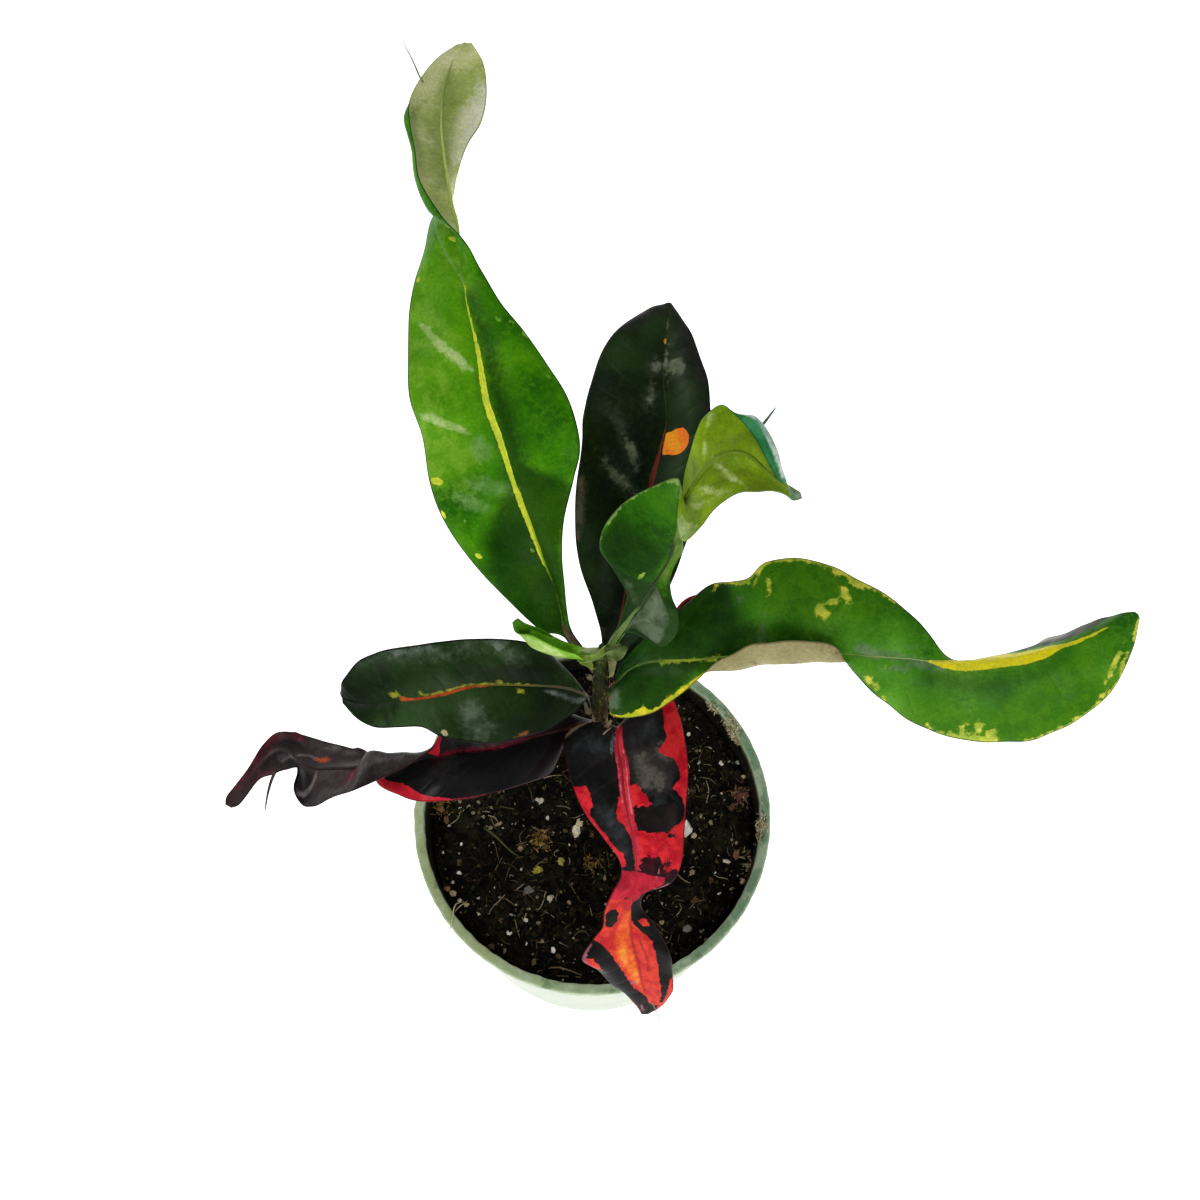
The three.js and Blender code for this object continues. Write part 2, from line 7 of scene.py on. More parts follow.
import bpy
import numpy as np
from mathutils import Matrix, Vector


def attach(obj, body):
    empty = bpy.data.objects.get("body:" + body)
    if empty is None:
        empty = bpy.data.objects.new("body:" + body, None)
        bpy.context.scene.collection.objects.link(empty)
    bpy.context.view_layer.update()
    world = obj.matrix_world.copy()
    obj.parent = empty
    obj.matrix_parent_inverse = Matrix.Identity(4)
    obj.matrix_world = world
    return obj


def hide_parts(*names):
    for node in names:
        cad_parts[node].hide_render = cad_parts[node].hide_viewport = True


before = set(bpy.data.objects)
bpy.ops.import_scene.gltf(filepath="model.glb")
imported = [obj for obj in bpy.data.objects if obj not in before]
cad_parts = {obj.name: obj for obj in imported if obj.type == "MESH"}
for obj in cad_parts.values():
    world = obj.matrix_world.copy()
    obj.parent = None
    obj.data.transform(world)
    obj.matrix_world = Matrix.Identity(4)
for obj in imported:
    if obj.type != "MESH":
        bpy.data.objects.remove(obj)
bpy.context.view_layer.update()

MM = 0.001

# Camera, as it stood over the plant
CAMERA_PLACE = (2.3, -156.6, 721.9)
CAMERA_TILT = 19.52  # degrees from straight down
CAMERA_LENS = 66.0  # on a sensor 36 mm wide

# Nursery pot
POT_HEIGHT = 90.0
RIM_OUTER_R = 52.5
RIM_INNER_R = 49.6
RIM_DEPTH = 3.0
WALL_TOP_R = 50.3
BASE_R = 43.0
WALL = 1.2
FLOOR = 2.0
DRAIN_HOLES = 6
DRAIN_HOLE_R = 3.5
DRAIN_RING_R = 33.0

# Potting soil
SOIL_LEVEL = 80.0
SOIL_EDGE_R = 48.0
SOIL_EDGE_DROP = 1.6
SOIL_EDGE_LEAN = 1.9
SOIL_HIGH_ANGLE = math.radians(40)
SOIL_FLAT_R = 38.0
SEAT_GAP = 0.3

# Stem: x, y, z, radius
STEM_PATH = [
    [1.5, 2.5, 52, 2.5],
    [1.5, 2.5, 84, 2.5],
    [1.7, 4, 100, 2.4],
    [2, 6.5, 122, 2.2],
    [2.2, 8.6, 142, 2.1],
    [2.3, 10.2, 155, 2],
    [2.3, 12.6, 169, 1.9],
    [2.4, 14.6, 182, 1.8],
    [2.6, 16, 192, 1.6],
    [2.8, 17, 198, 0.7],
]
LEAF_NODE_Z = [151, 153, 163, 168, 174.5, 176, 185.5, 193]
NODE_SWELL = 0.15
STEM_SIDES = 40
STEM_SCARS_Z = [91, 99, 108, 116, 125, 133, 141, 147, 157.5, 171, 180]

# Bark tones from 80 mm up (0) to 200 mm (1), as the smoothstep of the height; the dark stops at 0.888 and 0.957 are
# painted shade under the crown
STEM_TONES_AND_SHADE = [
    (0.003, (52, 38, 24)),
    (0.376, (58, 46, 26)),
    (0.684, (82, 64, 36)),
    (0.794, (54, 44, 18)),
    # painted shade: the dark band under the crown
    (0.888, (42, 48, 13)),
    (0.957, (25, 37, 7)),
    (0.98, (48, 64, 18)),
    (0.999, (74, 92, 34)),
]

# Fine grids, in millimetres or counts
BLADE_STEP = 0.6
BLADE_COLUMNS = 53
BLADE_HALF = 0.24
CAMBER = 0.1
RIB_FOOT_R = 1.0
RIB_TIP_R = 0.32
RIB_SINK = 0.4  # share of its radius that the midrib lies below the blade
RIB_SIDES = 12
VEIN_LEAN = 0.4
VEIN_BEND = 0.25
MARGIN_WAVE = 0.35
PATCH_EDGE = 1.2
POT_SEGMENTS = 288
SOIL_SEGMENTS = 288
CRUMBS = 4200
CRUMB_TONES = [(6, 6, 5), (20, 17, 11), (46, 38, 24), (44, 46, 22), (96, 78, 52), (160, 146, 116)]
CRUMB_SHARES = [0.42, 0.27, 0.14, 0.11, 0.04, 0.02]
FLECKS = 620
FLECK_TONES = [(190, 180, 150), (150, 136, 100), (110, 100, 70), (214, 208, 190), (96, 100, 50)]
STRAY_FIBRES = 380
FIBRE_TONES = [(70, 56, 36), (96, 80, 54), (176, 164, 132), (66, 68, 34), (44, 36, 24), (120, 106, 78)]

# Leaves. A row is a point on the midrib (x, y, z), then the steps from it to the left and
# to the right margin, looking from the foot to the tip. A half that curls over passes
# through its "rolled" point, given from the midrib of that row.
LEAVES = {
    "leaf_back_long": {
        "rows": [
            [0.2, 16.2, 185, -0.5, -0.8, 0, 0.5, 0.8, 0],
            [-3, 18.5, 190.5, -0.6, -0.8, 0, 0.8, 0.8, 0],
            [-6.5, 21, 197, -1, -1, 0, 1.5, 0.5, 1],
            [-7.5, 25.5, 201, -5, -5, -1, 1.5, -0.5, 2],
            [-9, 30.5, 205, -11.5, -3.5, -2, 2.5, -1, 3],
            [-11.5, 35.5, 210, -16.5, -1.5, -3, 4.5, -1.5, 4],
            [-15, 43.5, 217, -20.5, 0, -5, 8.5, -2, 4],
            [-19, 52, 224, -20.5, 0.5, -5, 15, -2, 4],
            [-22, 59.5, 230, -19.5, 2.5, -5, 19.5, -3, 3],
            [-25, 67.5, 235, -19, 2, -4, 20, -1.5, 2],
            [-27, 77, 239, -17.5, 0.5, -3, 16.5, -1.5, 0],
            [-28.5, 83.5, 240, -16, 2, -3, 12.5, -0.5, 1],
            [-30, 90, 241, -14, 1.5, -3, 8.5, -0.5, 1],
            [-31, 96.5, 242, -12, 3, -4, 5, 0.5, 2],
            [-32.5, 104.5, 241, -9, 4, -5, 3, -3, 6],
            [-33, 111.5, 240, -7, 7.5, -8, 0.5, -6, 9],
            [-34.5, 118.5, 239, -1, 6.5, -9, -2, -7.5, 9],
            [-36, 127, 237, 2, 4, -5, -5.8, -6.5, 10],
            [-37.5, 137.5, 234, 5.5, 1, -2, -6.2, -6, 9],
            [-38.5, 148.5, 230, 10, -1, 0, -7.6, -3, 7],
            [-38.5, 160, 226, 11.5, -1.5, 2, -7.5, -2.5, 4],
            [-36.5, 172.5, 221, 8, -2.5, 3, -4.5, -1, 2],
            [-34, 180.5, 217, 2, 0, 0, -2, -0.5, 0],
        ],
        "rolled": {
            "right": {
                16: [-5.5, -3, 4], 17: [-6.5, -3, 5], 18: [-6.5, -3, 5], 19: [-8, -1.5, 4],
            },
        },
    },
    "leaf_back_dark": {
        "rows": [
            [3.4, 16.4, 175.5, -0.9, 0.4, 0, 0.9, -0.4, 0],
            [4.6, 17.2, 179, -1.2, 0.6, 0, 1.2, -0.6, 0],
            [5.5, 18.5, 183, -2.5, 1, 1, 4.5, -0.5, -1],
            [6.5, 23, 188, -4, 0.5, 2, 7.5, -1, -1],
            [8, 29, 194, -7.5, 0, 2, 10, 0.5, 0],
            [10, 37.5, 201, -13, 0, 2, 12.5, 1, 1],
            [13, 47.5, 207, -17, -0.5, 2, 13.5, 0.5, 2],
            [15.5, 55.5, 211, -19, 1.5, 1, 13.5, 0.5, 3],
            [17.5, 64, 213, -19.5, 2.5, 1, 13, -0.5, 4],
            [19, 71, 215, -21, 1.5, 0, 11, 0.5, 4],
            [18.5, 79.5, 216, -18.5, 1, -1, 11, -0.5, 4],
            [18.5, 86, 216, -16, 3.5, -1, 9.5, -0.5, 3],
            [19, 93, 216, -11.5, 4, -1, 6.5, 1, 1],
            [19.5, 99.5, 215, -5, 3.5, -1, 3.5, 0.5, 0],
            [20, 105, 213, -0.8, -0.3, 0, 0.8, -0.3, 0],
        ],
    },
    "leaf_top_twisted": {
        "rib_scale": 1.25,
        "rows": [
            [4.5, 17.4, 192.5, -0.6, 0.8, 0, 0.6, -0.8, 0],
            [6, 19.5, 195.5, -0.7, 0.9, 0, 0.9, -0.9, 0],
            [8, 21.5, 198, -1, 1, 0, 1, -1, 0],
            [10.5, 24.5, 201, -2, 1.5, 2, 3.5, -5.5, -3],
            [12.5, 25.5, 205, -3.5, 2, 2, 5.5, -9, -6],
            [13.5, 26.5, 208, -6, 3.5, 2, 8, -8, -4],
            [15, 27.5, 211, -9.5, 5.5, 1, 6.5, -5.5, -2],
            [17, 29.5, 215, -14.5, 7.5, -1, 3, -4.5, -3],
            [19, 31.5, 219, -15.5, 9.5, 0, 0.5, -3, -3],
            [20, 33.5, 223, -11.5, 11, 3, 1, -1.5, -5],
            [21, 35.5, 228, -5.5, 10, 6, 1.5, -1, -9],
            [21.5, 37.5, 232, -1, 6.5, 10, 1, -1, -10],
            [22, 39, 236, -1.5, -1.5, 10, 0.5, 3, -10],
            [23, 40.5, 239, -2.5, -9, 6, -0.5, 7, -6],
            [24.5, 42.5, 241, -2.5, -14, 0, -1, 8.5, -1],
            [27, 45.5, 244, -1, -13, -4, -2, 9, 1],
            [30, 47.5, 246, -0.5, -11, -5, -3, 10, 2],
            [33.5, 48.5, 247, 1, -9, -4, -2, 11, 3],
            [37.5, 48, 246, 2, -7.5, -4, -0.5, 2.5, 9],
            [41.5, 45.5, 243, 1.5, -4, -3, -1, 0.5, 8],
            [45.5, 43.5, 240, 0.5, -2, -2, -1, -1, 4],
            [47.8, 42.2, 237.4, 0.6, -1.8, -0.4, -0.5, 1.7, 0.6],
            [50.2, 42.1, 236.2, 0.2, -0.8, 0, -0.2, 0.8, 0],
        ],
        "rolled": { "right": { 18: [1, 7, 6], 19: [1.5, 4, 6], 20: [0, 1, 3] } },
    },
    "leaf_right_long": {
        "rows": [
            [5.1, 12.7, 174.5, 0.3, 1, 0, -0.3, -1, 0],
            [6, 12.4, 179, 0.4, 1.4, 0.5, -0.5, -1.6, 0],
            [7, 12.5, 182.5, 1, 4, 2, -2, -8, -2],
            [9.5, 15, 184, 3, 5.5, 4, -0.5, -11.5, -4],
            [14.5, 16.5, 186, 3.5, 8.5, 6, 0.5, -12.5, -4],
            [21.5, 16, 189, 3.5, 13.5, 7, -0.5, -9.5, -3],
            [27, 15.5, 191, 3.5, 17.5, 8, -0.5, -5.5, -1],
            [32.5, 15.5, 193, 3, 17.5, 8, -1, -3, 6],
            [37, 15.5, 194, 2.5, 18, 9, -1.5, -2, 9],
            [43, 15, 196, 1, 22, 8, -2.5, -0.5, 11],
            [50, 15.5, 197, 1, 22.5, 8, -2.5, -0.5, 11],
            [56, 15, 198, 3.5, 21, 7, -1.5, 0, 10],
            [62.5, 14.5, 199, 3.5, 18.5, 5, -2, -0.5, 7],
            [68, 14, 199, 5.5, 15, 4, -4.5, -2.5, 2],
            [73.5, 14, 198, 7, 10, 3, -5.5, -5.5, -3],
            [79.5, 14, 197, 6, 4.5, 2, -6, -9, -6],
            [86, 13.5, 196, 4.5, 2, -3, -6.5, -12, -9],
            [93, 13.5, 195, 4, 3.5, -10, -5.5, -15, -11],
            [100.5, 14, 195, 5, 5.5, -14, -4, -17.5, -12],
            [108, 15, 195, 5, 7, -14, -3, -19, -12],
            [115.5, 17, 195, 3.5, 7, -11, -1.5, -20, -11],
            [123, 19, 195, 2.5, 6.5, -7, -0.5, -18.5, -9],
            [129.5, 22, 195, 1.5, 4.5, -4, 2, -14.5, -6],
            [134.5, 24.5, 195, 0.5, 2.5, -1, 2.5, -7, -2],
            [138.5, 26, 196, -0.8, 0.7, 0, 0.3, -1, 0],
        ],
        "rolled": {
            "right": {
                7: [-1, -4, 2], 8: [-0.5, -4.5, 3], 9: [-0.5, -3.5, 4], 10: [-0.5, -4, 4],
                11: [-0.5, -3.5, 4], 12: [-1, -3, 3], 13: [-3, -2, 1],
            },
        },
    },
    "leaf_left_broad": {
        "rows": [
            [-0.6, 12, 163, 0, -1, 0, 0, 1, 0],
            [-1.6, 13.6, 166, 0, -1.6, 0, -0.5, 1.2, 0.5],
            [-4.5, 14.5, 168, 0, -6, -1, -1, 4, 2],
            [-9, 14.5, 171, -1, -10.5, -2, -2, 8.5, 3],
            [-16, 14, 174, -0.5, -13, -2, -1, 10.5, 4],
            [-23.5, 13.5, 176, -1, -15.5, -1, -1.5, 11, 5],
            [-31.5, 12.5, 178, 0.5, -15, 0, -2.5, 11.5, 4],
            [-39, 10, 179, 1, -12, 2, -3, 12.5, 4],
            [-44.5, 9, 179, 1, -7.5, -1, -4.5, 12.5, 4],
            [-49.5, 8.5, 179, -0.5, -6.5, -3, -6, 12, 3],
            [-55, 8, 178, -1, -5.5, -3, -5.5, 10, 3],
            [-60.5, 8.5, 177, 0, -4, -1, -3.5, 5.5, 2],
            [-64.5, 10, 176, 0.3, -1.5, 0, -0.5, 1.5, 0],
        ],
    },
    "leaf_left_purple": {
        "rows": [
            [-0.5, 10.2, 152, 0, -1, 0, 0, 1, 0],
            [-2, 9.8, 154, 0, -1.3, 0, -0.3, 1.3, 0],
            [-5, 8, 156.5, -2, -4, -1.5, -2, 4, 1],
            [-10.5, 6, 158, 0.5, -10, -2.5, -2, 8, 2],
            [-15.5, 4, 160.5, -1, -12.5, 0, -3, 10, 3],
            [-22, 1, 163, -2, -13, 2, -3, 12.5, 3],
            [-29, -0.5, 164, -2.5, -14, 3, -3, 11.5, 4],
            [-36, -1, 164, -3, -14.5, 4, -2, 7, 4],
            [-41, -2.5, 164, -4, -12.5, 2, 0, 1.5, 5],
            [-45.5, -3.5, 163, -4.5, -9, -1, 2, -0.5, 7],
            [-50, -4, 162, -6.8, -3.7, -5, 3, -2.5, 8],
            [-54, -4.5, 161, -4.5, 4.2, -7, 2.5, -3.5, 7],
            [-58.5, -4, 160, -3.6, 6.8, -6, 1.5, -6, 6],
            [-63.5, -4, 158, -1, 7, -5, 0, -7.5, 5],
            [-68.5, -3.5, 156, -1, 8, -4, -0.5, -9.5, 4],
            [-73, -3, 154, -1.5, 9.5, -4, -0.5, -11, 3],
            [-76.5, -1, 152, -2, 9, -3, -0.4, -11.7, 2],
            [-78.2, 0.2, 151.5, -1.8, 8.5, -3, -0.8, -8.6, 1.6],
            [-79.5, 1, 151, -1.5, 8, -3, 1.2, -3.7, 1],
            [-83, 3.5, 149, -2.5, 5.5, -2, 0.5, -5.5, 0],
            [-87.5, 2.5, 146, -2, 3.5, -1, 1, -5, 0],
            [-92, -1, 142, -1.5, 1.5, 0, 1.5, -2, 0],
            [-96, -5, 138, -1.6, 1.5, 0, 1.3, -2, 0],
            [-98.6, -7, 135.5, -1.6, 0.9, 0, 1.7, -1.5, 0],
            [-99.7, -8.2, 134.4, -0.8, 0.3, 0, 0.9, -0.6, 0],
        ],
        "rolled": {
            "right": {
                8: [-0.5, 1.2, 3.5], 9: [0.8, 1.2, 4.5], 10: [1, 1.6, 5], 11: [1, 2.6, 4], 12: [-0.2, 2.9, 3],
            },
        },
    },
    "leaf_front_red": {
        "rows": [
            [5.2, 7.7, 151, 0.7, 0.7, 0, -0.7, -0.7, 0],
            [6.8, 7.8, 154.5, 1, 0.7, 0, -1, -0.7, 0],
            [7, 6.5, 157, 12.5, 10, 1, -7.5, 1.4, 3.5],
            [7, 1.5, 158, 16.5, 8.5, 2, -14, 2.3, 4.5],
            [8, -4, 158, 17, 6, 2, -14.5, 0.4, 4],
            [8.5, -9.5, 157, 17, 3.5, 2, -13, -0.8, 3],
            [9.5, -15, 155, 15.5, 1, 2, -11, -1, 1],
            [11, -20.5, 152, 13.5, -0.5, 2, -8, -0.5, 0],
            [12, -25.5, 148, 12, -1.5, 2, -5, 0, 0],
            [12, -30, 144, 9.5, -2, 2, -4, 0.5, 0],
            [11, -33.5, 140, 3.5, -0.5, 2, -5.5, -0.5, 2],
            [10.5, -36.5, 136, 3, 0, -1, -7, -1.5, 1],
            [10.5, -40, 131, 6.5, 0, -1, -7.5, -1, 0],
            [11, -44, 126, 9, 0, -1, -11, 0, 0],
            [12.5, -47.5, 120, 9.5, -0.5, -1, -15, -0.5, 1],
            [13.5, -51.5, 114, 9, -0.5, -2, -10.5, 0.5, 0],
            [15, -55, 107, 7, -0.5, -1, -6.5, 0.5, 0],
            [16, -57.5, 101, 3, -0.5, 0, -3.5, 0, 0],
            [15, -59, 97, 1, 0, 0, -1, 0, 0],
        ],
    },
    "leaf_bud_folded": {
        "rib_scale": 0.4,
        "rows": [
            [0.5, 15.2, 194, -0.4, -1, 0, 0.2, 1, 0.2],
            [-1, 14.4, 197, 0, -1.9, 0.8, -0.2, 2, 0.8],
            [-3, 13.5, 199, -0.3, -0.9, 5, 0, 1.9, 3.5],
            [-7, 13.5, 200, 0.5, -0.7, 7, 1, 2.1, 5],
            [-11, 13.5, 203, 1, -0.2, 7, 2, 2.5, 5],
            [-15, 14.5, 206, 0.5, 0.5, 6, 2, 2.8, 4.5],
            [-17.5, 17, 210, -0.9, -1, 1.4, 1.2, 1.6, 1.2],
            [-18.5, 18.5, 213, -0.7, -0.6, 0, 0.7, 0.6, 0],
        ],
        "rolled": {
            "left": { 2: [0, -0.8, 2], 3: [0.2, -0.6, 3], 4: [0.4, -0.3, 3.2], 5: [-0.1, 0, 2.6] },
            "right": { 2: [0, 1.5, 1], 3: [0.5, 1.9, 1.6], 4: [1.1, 2.2, 1.8], 5: [1.4, 2.2, 1.6] },
        },
    },
    "leaf_under_short": {
        "rows": [
            [4.7, 13.8, 167.5, -0.5, 0.9, 0, 0.5, -0.9, 0],
            [6.5, 15.2, 170.5, -0.6, 1, 0, 0.8, -1, 0],
            [10.5, 18, 173, -1, 2, 1, 1.5, -2.5, -1],
            [16.5, 21.5, 176, -1.5, 3.5, 1, 3, -4, -2],
            [23, 25, 178, -3, 5.5, 2, 3.5, -4.5, -2],
            [29.5, 28, 179, -4.5, 7.5, 2, 3.5, -6, -2],
            [35.5, 30.5, 179, -3, 7, 2, 3.5, -6.5, -1],
            [41.5, 32, 178, -2, 4.5, 2, 2.5, -5, 0],
            [47.5, 33, 177, -0.5, 1, 0, 0, -0.9, 0],
        ],
    },
}

